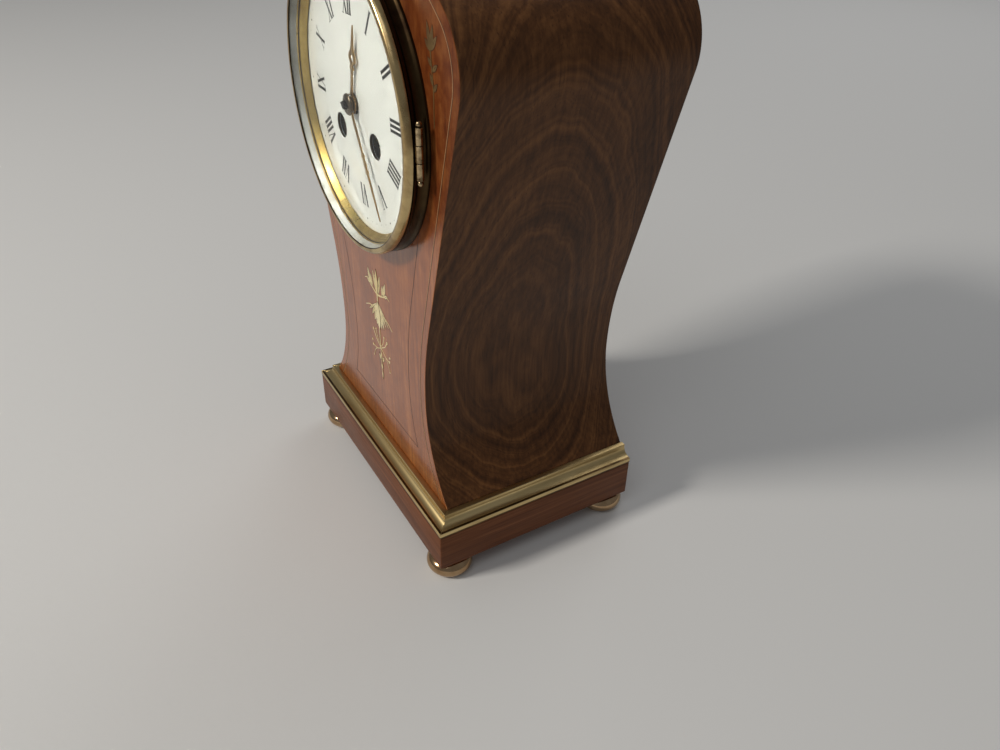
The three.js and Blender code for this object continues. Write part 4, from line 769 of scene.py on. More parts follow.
LEFT_CORNER = Vector((plinth_low.x, plinth_low.y, plinth_high.z))
RIGHT_CORNER = Vector((plinth_high.x, plinth_low.y, plinth_high.z))
WIDTH = Vector((plinth_high.x - plinth_low.x, 0, 0))
DEPTH = Vector((0, plinth_high.y - plinth_low.y, 0))
BOTH_MITRES = [(LEFT_CORNER, Vector((-1, 1, 0))), (RIGHT_CORNER, Vector((1, 1, 0)))]
make_moulding("front", LEFT_CORNER, ALONG_Y, WIDTH, BOTH_MITRES)
make_moulding("right", RIGHT_CORNER, -ALONG_X, DEPTH, [(RIGHT_CORNER, Vector((-1, -1, 0)))])
make_moulding("left", LEFT_CORNER, ALONG_X, DEPTH, [(LEFT_CORNER, Vector((1, -1, 0)))])

# %% Bun feet
FOOT_PAD = 6 * MM
FOOT_R = 10.8 * MM
FOOT_WAIST = 2.2
NECK_IN = 0.7 * MM
NECK_UP = 0.3 * MM


def make_foot(node):
    low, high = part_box(node)
    centre = Vector(((low.x + high.x) / 2, (low.y + high.y) / 2, 0))
    top = plinth_low.z
    middle = top / FOOT_WAIST
    bun = bend(FOOT_PAD, middle, FOOT_R - FOOT_PAD, middle, -90, 62, 20)
    neck = bun[-1][0] - NECK_IN
    collar = [(neck, bun[-1][1] + NECK_UP), (neck, top), (0, top)]
    foot = turned(node.replace("foot", "bun_foot"), [(0, 0), *bun, *collar], centre, ALONG_Z, 72, 1)
    dress(foot, "case", "brass", (BRASS_FEET,), node)


for corner in ("front_left", "front_right", "back_left", "back_right"):
    make_foot(f"foot_{corner}")

# %% [markdown]
# ## Dial, sight ring and seat
# A fixed brass seat in the front board holds the enamel dial and, inside its rim, a sloping gilt sight ring.
# All are turned about one axis, so each is a section in millimetres: a radius, and a distance in front of the
# board, which is below zero for pieces behind it.

# %% Turned pieces about the dial's axis
POST_EASE = 0.15
LEAF_EDGE = 0.1 * MM


def at_dial(x=0.0, front=0.0, up=0.0):
    """A place by the dial's centre: millimetres to the right, in front of the board and up."""
    return Vector((x * MM, FACE - front * MM, DIAL_Z + up * MM))


def from_axis(face):
    return math.hypot(face.center.x, face.center.z - DIAL_Z)


def dial_ring(name, section, steps=160):
    return turned(name, section, at_dial(), OUT, steps)


def post(name, x, front, low, high, radius, hole=0.0):
    """An upright turned post with eased ends, or a tube if it has a hole."""
    section = [
        (hole, low), (radius - POST_EASE, low), (radius, low + POST_EASE),
        (radius, high - POST_EASE), (radius - POST_EASE, high), (hole, high),
    ]
    section += section[:1] if hole else []
    return turned(name, section, at_dial(x, front), ALONG_Z, 32)


def leaf_plate(low, high):
    plate = begin("leaf")
    corner, opposite = at_dial(*low), at_dial(*high)
    make_block((corner + opposite) / 2, [abs(side) for side in opposite - corner], LEAF_EDGE)
    return plate


def hold(*pieces):
    bpy.ops.object.select_all(action="DESELECT")
    for piece in pieces:
        piece.select_set(True)
    bpy.context.view_layer.objects.active = pieces[0]


def join(*shells):
    """Makes several shells one piece, under the first one's name."""
    hold(*shells)
    bpy.ops.object.join()


def carve(piece, cutter):
    """Takes a cutter's shape out of a piece and throws the cutter away."""
    hold(piece)
    apply_modifier(piece, "BOOLEAN", operation="DIFFERENCE", object=cutter)
    bpy.data.objects.remove(cutter)


print("dial's centre", round(DIAL_Z / MM, 1), "mm up")

# %% Seat with the fixed knuckles of the hinge
HINGE_X = 59.3
HINGE_F = 4.85
KNUCKLE_R = 1.35
KNUCKLE_HOLE = 0.8
FIXED_KNUCKLES = ((-9.3, -3.2), (3.2, 9.3))
SEAT_R = 57.3
SEAT_F = 4.7
SEAT_BACK = 0.05
SEAT_LEAF_F = 3.4
PAN_F = 1.05
PAN_LAP = 0.5
DIAL_R = 53.9
DIAL_PLAY = 0.3
WINDERS = ((-16.6, -12.6), (16.6, -12.6))
WINDING_HOLE_R = 5
WINDING_PLAY = 1.2
DIAL_BORE_R = 4
PAN_HOLES = [(0, 0, DIAL_BORE_R), *((x, up, WINDING_HOLE_R + WINDING_PLAY) for x, up in WINDERS)]
FOOT_RING = 38.5
FOOT_ANGLE = math.radians(62)
DIAL_FOOT = [(0, -0.5), (2.2, -0.5), (2.2, 8.9), (0, 8.9)]


def pierced_disc(name, radius, holes, back, front):
    """A flat disc on the dial's axis, with round holes at (x, up, radius), in millimetres."""
    disc = begin(name)
    for x, up, size in [(0, 0, radius), *holes]:
        circle(at_dial(x, back, up), size * MM, 160 if size == radius else 48)
    fill_and_thicken(OUT * (front - back) * MM)
    return disc


def hinge_knuckle(low, high):
    return post("knuckle", HINGE_X, HINGE_F, low, high, KNUCKLE_R, KNUCKLE_HOLE)


def by_hinge(face):
    axis = at_dial(HINGE_X, HINGE_F)
    return math.hypot(face.center.x - axis.x, face.center.y - axis.y) < (KNUCKLE_R + 0.02) * MM


inner = DIAL_R + DIAL_PLAY
rim = [(inner, SEAT_F), (SEAT_R - 0.5, SEAT_F), (SEAT_R, SEAT_F - 0.5), (SEAT_R, 1.9)]
flare = [(SEAT_R + 0.25, 1.5), (SEAT_R + 0.9, PAN_F), (SEAT_R + 1, 0.8), (SEAT_R + 1, SEAT_BACK)]
seat = dial_ring("seat_ring", rim + flare + [(inner, SEAT_BACK), (inner, SEAT_F)])
shells = [pierced_disc("seat_pan", inner + PAN_LAP, PAN_HOLES, SEAT_BACK, PAN_F)]
for low, high in FIXED_KNUCKLES:
    shells.append(hinge_knuckle(low, high))
    shells.append(leaf_plate((SEAT_R - 1, SEAT_F, low), (HINGE_X - KNUCKLE_HOLE, SEAT_LEAF_F, high)))
for side in (1, -1):
    for angle in (FOOT_ANGLE, -FOOT_ANGLE):
        x, up = FOOT_RING * math.cos(angle), FOOT_RING * math.sin(angle)
        shells.append(turned("dial_foot", DIAL_FOOT, at_dial(side * x, 0, up), ALONG_Y, 24))
join(seat, *shells)
# The seat takes the near-black painted shade, all but the hinge's knuckles.
for face in seat.data.polygons:
    face.material_index = 1 if by_hinge(face) else 0
dress(seat, "case", "brass", (BRASS_PAINTED_SHADE, BRASS_HINGE), "bezel_seat")

# %% Enamel dial, a turned dome with the winding holes drilled through it
DIAL_BACK = 1.1
DIAL_F = 2.9
DIAL_DOME = 1.4
DIAL_TURN = math.radians(-2.7)
DIAL_EDGE = 0.25 * MM
DIAL_RINGS = 16
STEEP = 0.2
RIM_W = 1


def enamel_at(radius):
    """How far the domed enamel is in front of the board, at this radius."""
    return DIAL_F - DIAL_DOME * (radius / DIAL_R) ** 2


def on_dial(across, out, hour_turn, lift=0.0):
    """A place on the enamel, across and outwards of a line at this angle. The dial sits a little turned."""
    turn = hour_turn + DIAL_TURN
    x = across * math.cos(turn) + out * math.sin(turn)
    up = out * math.cos(turn) - across * math.sin(turn)
    return at_dial(x, enamel_at(math.hypot(x, up)) + lift, up)


radii = [DIAL_R + (DIAL_BORE_R - DIAL_R) * i / DIAL_RINGS for i in range(DIAL_RINGS + 1)]
dome = [(radius, enamel_at(radius)) for radius in radii]
bore = (DIAL_BORE_R, DIAL_BACK)
dial = dial_ring("dial_plate", [bore, (DIAL_R, DIAL_BACK), *dome, bore])
drill = [(0, -SEAT_F), (WINDING_HOLE_R, -SEAT_F), (WINDING_HOLE_R, SEAT_F), (0, SEAT_F)]
for x, up in WINDERS:
    carve(dial, turned("drill", drill, on_dial(x, up, 0), OUT, 48))
soften(dial, DIAL_EDGE, 3)
for face in dial.data.polygons:
    wall = abs(face.normal.y) < STEEP and from_axis(face) <= (DIAL_R - RIM_W) * MM
    face.material_index = 1 if wall else 0
dress(dial, "case", "enamel", (ENAMEL, BRASS_DARK), "dial", smooth=25)

# %% [markdown]
# ### Painted numerals
# The hours are plain Roman numerals with their feet to the centre: heavy and fine strokes with thin bars at
# their ends, drawn as four-cornered shapes. Sixty dots mark the minutes. The lot is pulled out by a hair.

# %% Numerals and minute dots
PAINT = 0.04
NUMERAL_IN = 32.2
NUMERAL_OUT = 41.6
DOTS_R = 47.4
DOT_R = 0.2
HOUR_DOT_R = 0.42
HEAVY = 1.2
FINE = 0.36
SERIF = 0.26
SERIF_W = 1.7
HOURS = ("XII", "I", "II", "III", "IIII", "V", "VI", "VII", "VIII", "IX", "X", "XI")
# A letter's advance, and its strokes as (place of the foot, place of the top, width).
LETTERS = {
    "I": (1.95, ((0, 0, HEAVY),)),
    "V": (4.2, ((0, -1.5, HEAVY), (0, 1.5, FINE))),
    "X": (4.6, ((1.55, -1.55, HEAVY), (-1.55, 1.55, FINE))),
}


def stroke(hour, foot, top, low, high, wide):
    """A stroke from its foot to its top, as places across the hour's line, between two radii."""
    corners = [(foot - wide / 2, low), (foot + wide / 2, low), (top + wide / 2, high), (top - wide / 2, high)]
    fill([on_dial(across, out, math.radians(30 * hour), -PAINT) for across, out in corners])


def paint_hour(hour, numeral):
    across = -sum(LETTERS[letter][0] for letter in numeral) / 2
    for letter in numeral:
        advance, strokes = LETTERS[letter]
        middle = across + advance / 2
        for foot, top, wide in strokes:
            stroke(hour, middle + foot, middle + top, NUMERAL_IN, NUMERAL_OUT, wide)
            stroke(hour, middle + top, middle + top, NUMERAL_OUT - SERIF, NUMERAL_OUT, SERIF_W)
            if letter != "V":
                stroke(hour, middle + foot, middle + foot, NUMERAL_IN, NUMERAL_IN + SERIF, SERIF_W)
        across += advance


paint = begin("dial_paint")
for hour, numeral in enumerate(HOURS):
    paint_hour(hour, numeral)
for minute in range(60):
    size = (DOT_R if minute % 5 else HOUR_DOT_R) * MM
    circle(on_dial(0, DOTS_R, math.radians(6 * minute), -PAINT), size, 12, fill_type="NGON")
make_thick(OUT * 2 * PAINT * MM)
dress(paint, "case", "enamel", (DIAL_BLACK,), smooth=0)

# %% Sight ring, a flat rim and a steep slope that leaves a dark gap above the enamel
SIGHT_R = 50.9
SIGHT_FLAT = 1.2

low, edge = enamel_at(SIGHT_R), DIAL_R - SIGHT_FLAT
slope = [(SIGHT_R + 0.7, low + 0.05), (SIGHT_R, low + 0.45), (SIGHT_R + 0.1, low + 0.6)]
rim = [(edge, SEAT_F - 0.15), (edge + 0.2, SEAT_F), (DIAL_R - 0.1, SEAT_F), (DIAL_R, SEAT_F - 0.1)]
sight = dial_ring("sight_slope", slope + rim + [(DIAL_R, enamel_at(DIAL_R) + 0.05), slope[0]])
dress(sight, "case", "gilt", (GILT,), "sight_ring", smooth=25)

# %% [markdown]
# ## Bezel
# The opening rim has a bright rounded lip, a groove, and a plain band below it. The band and the lip's edge
# by the glass are painted nearly black, as painted shade.
# It holds the flat glass, with a pale slip behind it, and the middle knuckle of the hinge. It is carved away
# beside the fixed knuckles, so that it can swing. All but the fixed pin rides on the bezel's own body.

# %% Bezel rim
BEZEL_BACK = 5.0
BEZEL_SWELL = 6.2
BEZEL_GROOVE = 6.8
BEZEL_FRONT = 9.6
BEZEL_R = 58.2
BEZEL_LEAF_F = (5.1, 6.1)
LIP_R = 56.5
GLASS_R = 55.9
GLASS_BACK = 8.0
GLASS_FRONT = 9.2
REBATE_R = GLASS_R + 0.3
LIP_GAP = 0.05
HALF_KNUCKLE = 3.0
SWING_ROOM = 0.3

stop = GLASS_FRONT + LIP_GAP
lip = [(GLASS_R - 0.7, stop), (GLASS_R - 0.6, BEZEL_FRONT - 0.12), (GLASS_R - 0.3, BEZEL_FRONT)]
over = bend(LIP_R, BEZEL_GROOVE, BEZEL_R - LIP_R, BEZEL_FRONT - BEZEL_GROOVE, 90, 0, 16)
groove = [(BEZEL_R - 0.5, BEZEL_GROOVE - 0.15), (BEZEL_R - 0.5, BEZEL_SWELL + 0.2)]
band = [(BEZEL_R, BEZEL_SWELL), (BEZEL_R, BEZEL_BACK + 0.7), (BEZEL_R - 0.2, BEZEL_BACK + 0.2)]
back = [(BEZEL_R - 0.6, BEZEL_BACK), (REBATE_R, BEZEL_BACK), (REBATE_R, stop)]
bezel = dial_ring("bezel_rim", lip + over + groove + band + back + lip[:1])
for low, high in FIXED_KNUCKLES:
    room = (low - SWING_ROOM, high + SWING_ROOM, KNUCKLE_R + SWING_ROOM)
    carve(bezel, post("room", HINGE_X, HINGE_F, *room))
low, high = BEZEL_LEAF_F
leaf_corners = (LIP_R, low, -HALF_KNUCKLE), (HINGE_X - 0.9, high, HALF_KNUCKLE)
join(bezel, hinge_knuckle(-HALF_KNUCKLE, HALF_KNUCKLE), leaf_plate(*leaf_corners))
# The band below the groove and the lip's edge by the glass take the near-black painted shade.
for face in bezel.data.polygons:
    in_shade = FACE - face.center.y < BEZEL_GROOVE * MM or from_axis(face) < (GLASS_R - 0.2) * MM
    face.material_index = 2 if by_hinge(face) else 1 if in_shade else 0
dress(bezel, "bezel", "brass", (BRASS_BEZEL, BRASS_PAINTED_SHADE, BRASS_HINGE), "bezel_ring")

# %% Glass and slip
GLASS_EASE = 0.3
SLIP_R = 54.0
SLIP_LINE = 0.48

ease = GLASS_R - GLASS_EASE
edge = [(GLASS_R, GLASS_BACK + GLASS_EASE), (GLASS_R, GLASS_FRONT - GLASS_EASE), (ease, GLASS_FRONT)]
pane = dial_ring("bezel_pane", [(0, GLASS_BACK), (ease, GLASS_BACK), *edge, (0, GLASS_FRONT)])
dress(pane, "bezel", "glass", (GLASS,), "bezel_glass")

back, front = BEZEL_BACK, GLASS_BACK - LIP_GAP
foot = [(SLIP_R, back), (SLIP_R, back + 0.2), (SLIP_R + 0.25, back + 0.45)]
slope = [(SLIP_R + 0.4, back + 0.5), (SLIP_R + 1.6, front), (GLASS_R, front), (GLASS_R, back)]
slip = dial_ring("glass_slip_ring", foot + slope + foot[:1])
for face in slip.data.polygons:
    face.material_index = 1 if FACE - face.center.y < (back + SLIP_LINE) * MM else 0
dress(slip, "bezel", "silvered", (SILVERED, GILT), "glass_slip")

# %% Hinge pin with its two balls
PIN_REACH = 10.4
BALL_R = 1.1

pin_foot = bend(0, -PIN_REACH, BALL_R, BALL_R, -90, 58, 12)
pin_top = bend(0, PIN_REACH, BALL_R, BALL_R, -58, 90, 12)
hinge_pin = turned("hinge_pin", pin_foot + pin_top, at_dial(HINGE_X, HINGE_F), ALONG_Z, 28)
dress(hinge_pin, "case", "brass", (BRASS_HINGE,), "bezel_hinge_pin")

# %% [markdown]
# ## Hands
# Each hand is half an outline, from under its hub up to its tip, mirrored, filled and pulled to its thickness
# at the origin. It is then turned to its hour and moved in front of the dial. The place is applied to the
# mesh, so that the object itself stays at the origin.

# %% Hour and minute hands
HAND_T = 0.6
HAND_EDGE = 0.14 * MM


def make_hand(name, body, hub, hole, stations, eyes, degrees, front):
    """Half widths at distances from the centre, and eyes as (distance, radius), all in millimetres."""
    hand = begin(name)
    foot = bend(0, 0, hub, hub, -90, 74, 16)
    draw([(x * MM, 0, z * MM) for x, z in foot + [(wide, far) for far, wide in stations]])
    mirror(hand)
    for far, size in [(0, hole), *eyes]:
        circle((0, 0, far * MM), size * MM, 28)
    fill_and_thicken(OUT * HAND_T * MM)
    soften(hand, HAND_EDGE)
    hand.rotation_euler.y = math.radians(degrees)
    hand.location = at_dial(0, front)
    bpy.ops.object.transform_apply(location=True, rotation=True, scale=True)
    dress(hand, body, "gilt", (HAND_GILT,), f"{body}_hand", smooth=30)


HOUR_STATIONS = (
    (6.0, 0.8), (11.0, 0.72), (13.6, 0.8), (14.1, 1.5), (14.6, 1.8), (15.1, 1.5), (15.6, 0.9), (16.3, 1.5),
    (17.4, 2.7), (18.4, 3.0), (19.4, 2.8), (20.6, 1.9), (21.6, 1.2), (23.2, 0.9), (27.0, 0.55), (31.0, 0.0),
)
MINUTE_STATIONS = (
    (5.0, 0.75), (18.6, 0.65), (19.4, 1.1), (20.0, 1.6), (20.6, 1.2), (21.2, 0.7), (22.6, 0.9), (24.0, 1.1),
    (25.0, 0.75), (25.6, 0.9), (26.2, 1.55), (26.8, 1.1), (27.4, 0.6), (36.0, 0.45), (46.0, 0.0),
)
make_hand("hand_of_hours", "hour", 3.9, 3.3, HOUR_STATIONS, [(18.4, 1.45)], 12.5, 3.6)
make_hand("hand_of_minutes", "minute", 3.1, 1.9, MINUTE_STATIONS, [], 150, 4.6)

# %% Domed collet
COLLET_BORE = 1.9
COLLET_R = 4.05
COLLET_BACK = 5.25

collet_foot = (COLLET_BORE, COLLET_BACK)
collet_dome = bend(COLLET_BORE, 5.4, 2.3, 1.15, 0, 90, 14)
collet = dial_ring("collet_dome", [collet_foot, (COLLET_R, COLLET_BACK), *collet_dome, collet_foot], 48)
dress(collet, "minute", "brass", (BRONZE,), "hand_collet")

# %% [markdown]
# ## Inlay
# Thin lines run near the edge of the front and round a lower panel. A spray of brass leaves hangs below the
# dial, and a small one is at each shoulder. A line is two outlines at nearly the same inset, bridged. A leaf
# is a pointed outline, a stem is a ribbon, and a larger dark shape under the brass reads as engraving.

# %% Inlaid lines
BURIED = 0.1 * MM
LINE_PROUD = 0.02 * MM
PANEL_FOOT = 52.3 * MM
PANEL_INSET = 16
PANEL_LINE = 0.45
PANEL_TOP = DIAL_Z - 34 * MM


def raise_inlay(piece, proud, finish):
    """Pulls flat shapes that were drawn inside the wood out to just above its face."""
    make_thick(OUT * (BURIED + proud))
    dress(piece, "case", "brass" if finish is INLAY_BRASS else "mahogany", (finish,), smooth=0)


def make_line(name, inset, wide, finish, foot, top=None):
    """A line that follows the case's outline, up both sides and over the crown or up to a height."""
    line = begin(name)
    half_band(inset * MM, (inset + wide) * MM, FACE + BURIED, foot)
    if top:
        pick()
        bpy.ops.mesh.bisect(plane_co=(0, 0, top), plane_no=ALONG_Z, clear_outer=True)
    mirror(line)
    raise_inlay(line, LINE_PROUD, finish)


make_line("edge_line_dark", 4.2, 0.4, LINE_DARK, CASE_Z)
make_line("edge_line_light", 4.6, 0.3, LINE_LIGHT, CASE_Z)
make_line("panel_line", PANEL_INSET, PANEL_LINE, LINE_DARK, PANEL_FOOT, PANEL_TOP)

panel_foot = begin("panel_line_foot")
half = half_width(PANEL_INSET * MM, PANEL_FOOT)
top = PANEL_FOOT + PANEL_LINE * MM
corners = [(-half, PANEL_FOOT), (half, PANEL_FOOT), (half, top), (-half, top)]
fill([(x, FACE + BURIED, z) for x, z in corners])
raise_inlay(panel_foot, LINE_PROUD, LINE_DARK)

# %% Shapes of leaves and stems
PETAL_STEPS = 7
STAGGER = 0.005 * MM
RIM = 0.45
VEIN_W = 0.22
VEIN_SHARES = (0.42, 0.65, 0.88)


def petal(root, tip, wide, belly=0.45):
    """The outline of a pointed leaf that is widest at the belly, as a share of its length."""
    root, tip = Vector(root), Vector(tip)
    along = tip - root
    side = Vector((along.y, -along.x)).normalized() * wide / 2
    bias = math.log(0.5) / math.log(belly)
    shares = [i / PETAL_STEPS for i in range(1, PETAL_STEPS)]
    right = [root + along * t + side * math.sin(math.pi * t**bias) for t in shares]
    left = [root + along * t - side * math.sin(math.pi * t**bias) for t in reversed(shares)]
    return [root, *right, tip, *left]


def ribbon(wide, *places):
    """The outline of a thin stem through some places. It tapers to half its width."""
    path = [Vector(place) for place in places]
    right, left = [], []
    for i, here in enumerate(path):
        run = path[min(i + 1, len(path) - 1)] - path[max(i - 1, 0)]
        side = Vector((run.y, -run.x)).normalized() * wide * (0.5 - 0.25 * i / (len(path) - 1))
        right.append(here + side)
        left.append(here - side)
    return right + left[::-1]


def dark_rim(root, tip, wide, *belly):
    """A leaf that is larger all round by the width of its dark rim."""
    root, tip = Vector(root), Vector(tip)
    reach = (tip - root).normalized() * RIM
    return petal(root - reach, tip + reach, wide + 1.2 * RIM, *belly)


def vein(root, tip, *_):
    return ribbon(VEIN_W, *(Vector(root).lerp(Vector(tip), share) for share in VEIN_SHARES))


def shapes(draw_one, items):
    return [draw_one(*item) for item in items]


def make_inlay(name, finish, proud, paired, single):
    """Fills outlines in millimetres as one piece, and mirrors the paired ones. Each lies a hair above the one
    before, so that no two share a face."""
    piece = begin(name)
    depth = BURIED
    for i, shape in enumerate(paired + single):
        if i == len(paired):
            mirror(piece)
        depth -= STAGGER
        fill([(x * MM, FACE + depth, z * MM) for x, z in shape])
    raise_inlay(piece, proud * MM, finish)
    # Brass above the dial's centre takes the darker finish, a painted shade.
    if finish is INLAY_BRASS:
        piece.data.materials.append(INLAY_SHADED)
        for face in piece.data.polygons:
            face.material_index = 1 if face.center.z > DIAL_Z else 0


print("a leaf has", len(petal((0, 0), (0, 1), 1)), "points")

# %% Sprays
SIDE_LEAVES = (
    ((0.6, 115.3), (3.7, 126.0), 2.3), ((5.2, 116.8), (6.4, 122.8), 1.9), ((6.8, 117.2), (9.2, 124.9), 2.2),
    ((7.6, 117.4), (11.2, 119.4), 1.7), ((0.6, 111.0), (2.6, 98.0), 2.8, 0.6),
    ((1.0, 110.6), (5.0, 99.2), 2.2, 0.6), ((1.4, 110.2), (7.6, 101.2), 1.6, 0.6),
    ((1.6, 110.0), (10.6, 102.6), 1.1, 0.6), ((1.2, 79.4), (2.5, 82.4), 1.5),
    ((59.7, 234.1), (64.2, 239.3), 2.0), ((59.7, 234.1), (56.0, 237.0), 1.8),
    ((59.7, 234.1), (57.7, 242.6), 2.2), ((59.8, 234.3), (61.5, 242.0), 2.2),
    ((60.4, 229.5), (57.8, 231.6), 1.4), ((60.7, 228.0), (64.2, 230.6), 1.6),
    ((61.3, 223.4), (59.0, 226.8), 1.5), ((61.4, 221.8), (63.9, 224.6), 1.5),
)
MIDDLE_LEAVES = (
    ((0, 115.0), (0, 127.6), 2.7), ((0, 112.0), (0, 96.4), 3.6, 0.6), ((0, 74.6), (0, 78.2), 1.7),
    ((0, 73.6), (0, 68.9), 1.0),
)
SIDE_STEMS = (
    (1.0, (0, 115.0), (3.8, 116.0), (7.8, 117.5)), (0.4, (10.6, 119.0), (13.1, 118.0)),
    (0.5, (5.5, 106.4), (10.4, 105.2), (14.3, 103.2)),
    (0.55, (7.0, 92.6), (4.6, 89.4), (0, 86.4), (-4.6, 83.8), (-8.6, 83.6)),
    (0.45, (4.2, 94.0), (2.9, 90.4), (0, 87.2)), (0.4, (0.3, 83.6), (1.0, 81.0), (2.0, 80.0)),
    (0.35, (4.8, 84.0), (7.0, 81.6), (8.8, 78.2)),
    (0.6, (59.7, 234.4), (60.5, 228.4), (61.4, 221.4), (61.2, 209.6)),
)
MIDDLE_STEMS = ((1.3, (0, 115.6), (0, 111.6)), (0.6, (0, 97.0), (0, 84.0), (0, 70.0)))
BERRIES = ((7.4, 93.3, 0.75), (9.5, 86.2, 0.6), (8.9, 83.7, 0.7), (4.4, 94.6, 0.55), (8.9, 77.8, 0.45))
LEAVES = (SIDE_LEAVES, MIDDLE_LEAVES)

berries = [bend(x, z, size, size, 0, 324, 9) for x, z, size in BERRIES]
side_brass = shapes(petal, SIDE_LEAVES) + shapes(ribbon, SIDE_STEMS) + berries
middle_brass = shapes(petal, MIDDLE_LEAVES) + shapes(ribbon, MIDDLE_STEMS)
make_inlay("spray_outline", LINE_DARK, 0.012, *(shapes(dark_rim, leaves) for leaves in LEAVES))
make_inlay("spray_brass", INLAY_BRASS, 0.03, side_brass, middle_brass)
make_inlay("spray_engraving", LINE_DARK, 0.04, *(shapes(vein, leaves) for leaves in LEAVES))

# %% [markdown]
# ## Back, bell and pendulum
# A brass ring lines the opening in the back board and carries a domed door on a hinge. Behind it are the bell
# and the pendulum. The turned ones are spun again here with many more steps, so that they stay round close
# up. The rest of the movement keeps the solids' own shape, and only gets its finish.

# %% Back ring and door
DOOR_X = -52.5
DOOR_F = -98.65
DOOR_KNUCKLE_R = 1.5
DOOR_LEAF = ((DOOR_X + 0.9, -98.1, -HALF_KNUCKLE), (-47.5, -99.25, HALF_KNUCKLE))
RING_KNUCKLES = ((-9.3, -3.3), (3.3, 9.3))
RING_SECTION = [
    (46.7, -96.75), (53.0, -96.75), (53.0, -97.7), (52.7, -98.0), (45.8, -98.0), (45.5, -97.7),
    (45.5, -88.65), (39.0, -88.65), (39.0, -87.15), (46.7, -87.15), (46.7, -96.75),
]
DOOR_SECTION = [
    (0, -98.05), (49.2, -98.05), (49.5, -98.35), (49.5, -99.0), (49.25, -99.25), (46.8, -99.25),
    (46.4, -99.4), (45.0, -100.15), (44.3, -100.45), (0, -100.45),
]
KNOB_X = 40.5
KNOB_STEM = [(0, 98.1), (1.0, 98.1), (1.0, 100.5), (2.3, 100.5), (2.3, 100.8), (1.6, 101.3)]
KNOB_HEAD = [*bend(1.4, 102.4, 1.4, 1.1, -70, 90, 12), (0, 103.5)]


def door_knuckle(low, high):
    return post("knuckle", DOOR_X, DOOR_F, low, high, DOOR_KNUCKLE_R, KNUCKLE_HOLE)


ring = dial_ring("back_door_ring", RING_SECTION)
reach = HALF_KNUCKLE + SWING_ROOM
carve(ring, post("room", DOOR_X, DOOR_F, -reach, reach, DOOR_KNUCKLE_R + SWING_ROOM))
join(ring, *(door_knuckle(low, high) for low, high in RING_KNUCKLES))
dress(ring, "case", "brass", (BRASS_DARK,), "back_ring")

door = dial_ring("back_door_plate", DOOR_SECTION)
join(door, door_knuckle(-HALF_KNUCKLE, HALF_KNUCKLE), leaf_plate(*DOOR_LEAF))
dress(door, "back_door", "brass", (BRASS,), "back_door")

knob = turned("door_pull", KNOB_STEM + KNOB_HEAD, at_dial(KNOB_X), ALONG_Y, 40)
dress(knob, "back_door", "brass", (BRASS,), "door_knob")

# %% Bell and bob
BELL_R = 30
BELL_BOSS = 4
BELL_BORE = 1.8
BELL_WALL = 1.4
BELL_Y = 65.0
BELL_DEPTH = 16.5
BOB_RIM = 0.8 * MM


def bell_shell(inset):
    quarter = bend(0, 0, 1, 1, 0, 90, 24)
    wide, deep = BELL_R - inset - BELL_BOSS, BELL_DEPTH - inset
    return [(BELL_BOSS + wide * x, -BELL_Y - deep * y) for x, y in quarter]


crown = [(BELL_BORE, -BELL_Y - BELL_DEPTH), (BELL_BORE, -BELL_Y - BELL_DEPTH + BELL_WALL)]
outside, inside = bell_shell(0), bell_shell(BELL_WALL)
bell = dial_ring("bell_dome", outside + crown + inside[::-1] + outside[:1], 96)
dress(bell, "case", "silvered", (SILVERED,), "bell")

low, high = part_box("pendulum_bob")
half = (high - low) / 2
lens = bend(0, BOB_RIM, half.x, half.y - BOB_RIM, 0, 90, 12)
section = [(x, -y) for x, y in reversed(lens)] + lens
bob = turned("bob_lens", section, (low + high) / 2, ALONG_Y, 64, 1)
dress(bob, "pendulum", "brass", (BRASS,), "pendulum_bob")

# %% Finishes of the solids that stay
BLUED = ("hand_pin", "cannon_pinion", "going_winder", "strike_winder")
STEELS = (
    "going_click", "strike_click", "pallets", "hammer", "suspension_spring", "pendulum_rod", "strap_left",
    "strap_right", "strap_screw_left", "strap_screw_right",
)


def finish_of(node):
    if node in BLUED:
        return STEEL_DARK
    if node in STEELS:
        return STEEL
    return MAHOGANY_SIDE if node == "case_floor" else BRASS


for node, solid in frame["nodes"].items():
    for place in solid.material_slots:
        place.material = finish_of(node)
print("solids given a finish", len(frame["nodes"]))

# %% [markdown]
# ## Studio
# A plain pale floor, a small soft key lamp high in front of the dial, a weak fill, a wide lamp from behind,
# and the camera at the photograph's angle.

# %% Floor and lights
FLOOR_COLOUR = (0.78, 0.77, 0.745, 1)
SKY_COLOUR = (0.9, 0.92, 0.95, 1)
SKY_STRENGTH = 0.2
MIDDLE = (0, 0, 0.13)


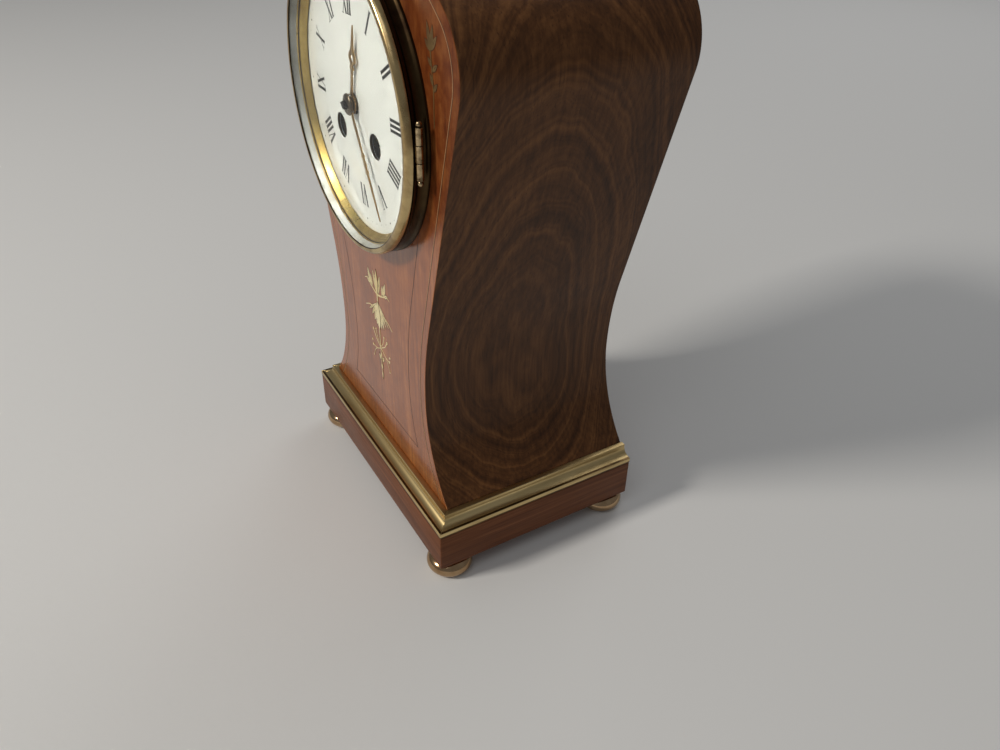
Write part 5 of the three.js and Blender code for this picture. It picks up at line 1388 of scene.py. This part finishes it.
def make_lamp(name, place, size, power, colour):
    bpy.ops.object.light_add(type="AREA", location=place)
    lamp = bpy.context.object
    lamp.name = name
    lamp.data.size = size
    lamp.data.energy = power
    lamp.data.color = colour
    lamp.rotation_euler = (Vector(MIDDLE) - Vector(place)).to_track_quat("-Z", "Y").to_euler()


material, tree = new_finish("studio_floor")
rough = scaled(tree, noise(tree, stretched(tree), 6.0, 3.0), 0.1, 0.7)
surface(material, Base_Color=FLOOR_COLOUR, Roughness=rough)
bpy.ops.object.select_all(action="DESELECT")
bpy.ops.mesh.primitive_plane_add(size=12)
floor = bpy.context.object
floor.name = "studio_floor"
floor.data.materials.append(material)
floor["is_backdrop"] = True

make_lamp("key", (-0.25, -1.5, 1.25), 0.3, 18.5, (1.0, 0.96, 0.9))
make_lamp("fill", (0.5, -0.8, 1.4), 0.7, 2, (0.95, 0.97, 1.0))
make_lamp("back", (-0.7, 1.3, 1.1), 1.0, 4, (0.97, 0.98, 1.0))

world = bpy.data.worlds.new("studio")
world.use_nodes = True
sky = world.node_tree.nodes["Background"].inputs
sky["Color"].default_value = SKY_COLOUR
sky["Strength"].default_value = SKY_STRENGTH
bpy.context.scene.world = world
bpy.context.scene.view_settings.view_transform = "Standard"
print("lamps", [light.name for light in bpy.data.lights])

# %% Camera
CAMERA_PLACE = (0.30885, -0.17053, 0.30699)
RIGHT = Vector((0.509181, 0.860437, 0.019572))
DOWN = Vector((0.508586, -0.282465, -0.813359))
FORWARD = Vector((-0.694316, 0.424102, -0.581432))
LENS = 30.545
SENSOR = 36
NEAREST = 0.01

turn = Matrix((RIGHT, -DOWN, -FORWARD)).transposed().to_4x4()
bpy.ops.object.camera_add()
camera = bpy.context.object
camera.data.lens = LENS
camera.data.sensor_width = SENSOR
camera.data.clip_start = NEAREST
camera.matrix_world = Matrix.Translation(CAMERA_PLACE) @ turn
bpy.context.scene.camera = camera
print("camera", round(camera.location.z / MM), "mm up")

# %% [markdown]
# ## Sizes
# The size of the finished clock is measured from all the pieces that show, the floor left out.

# %% Sizes and finish
low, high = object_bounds()
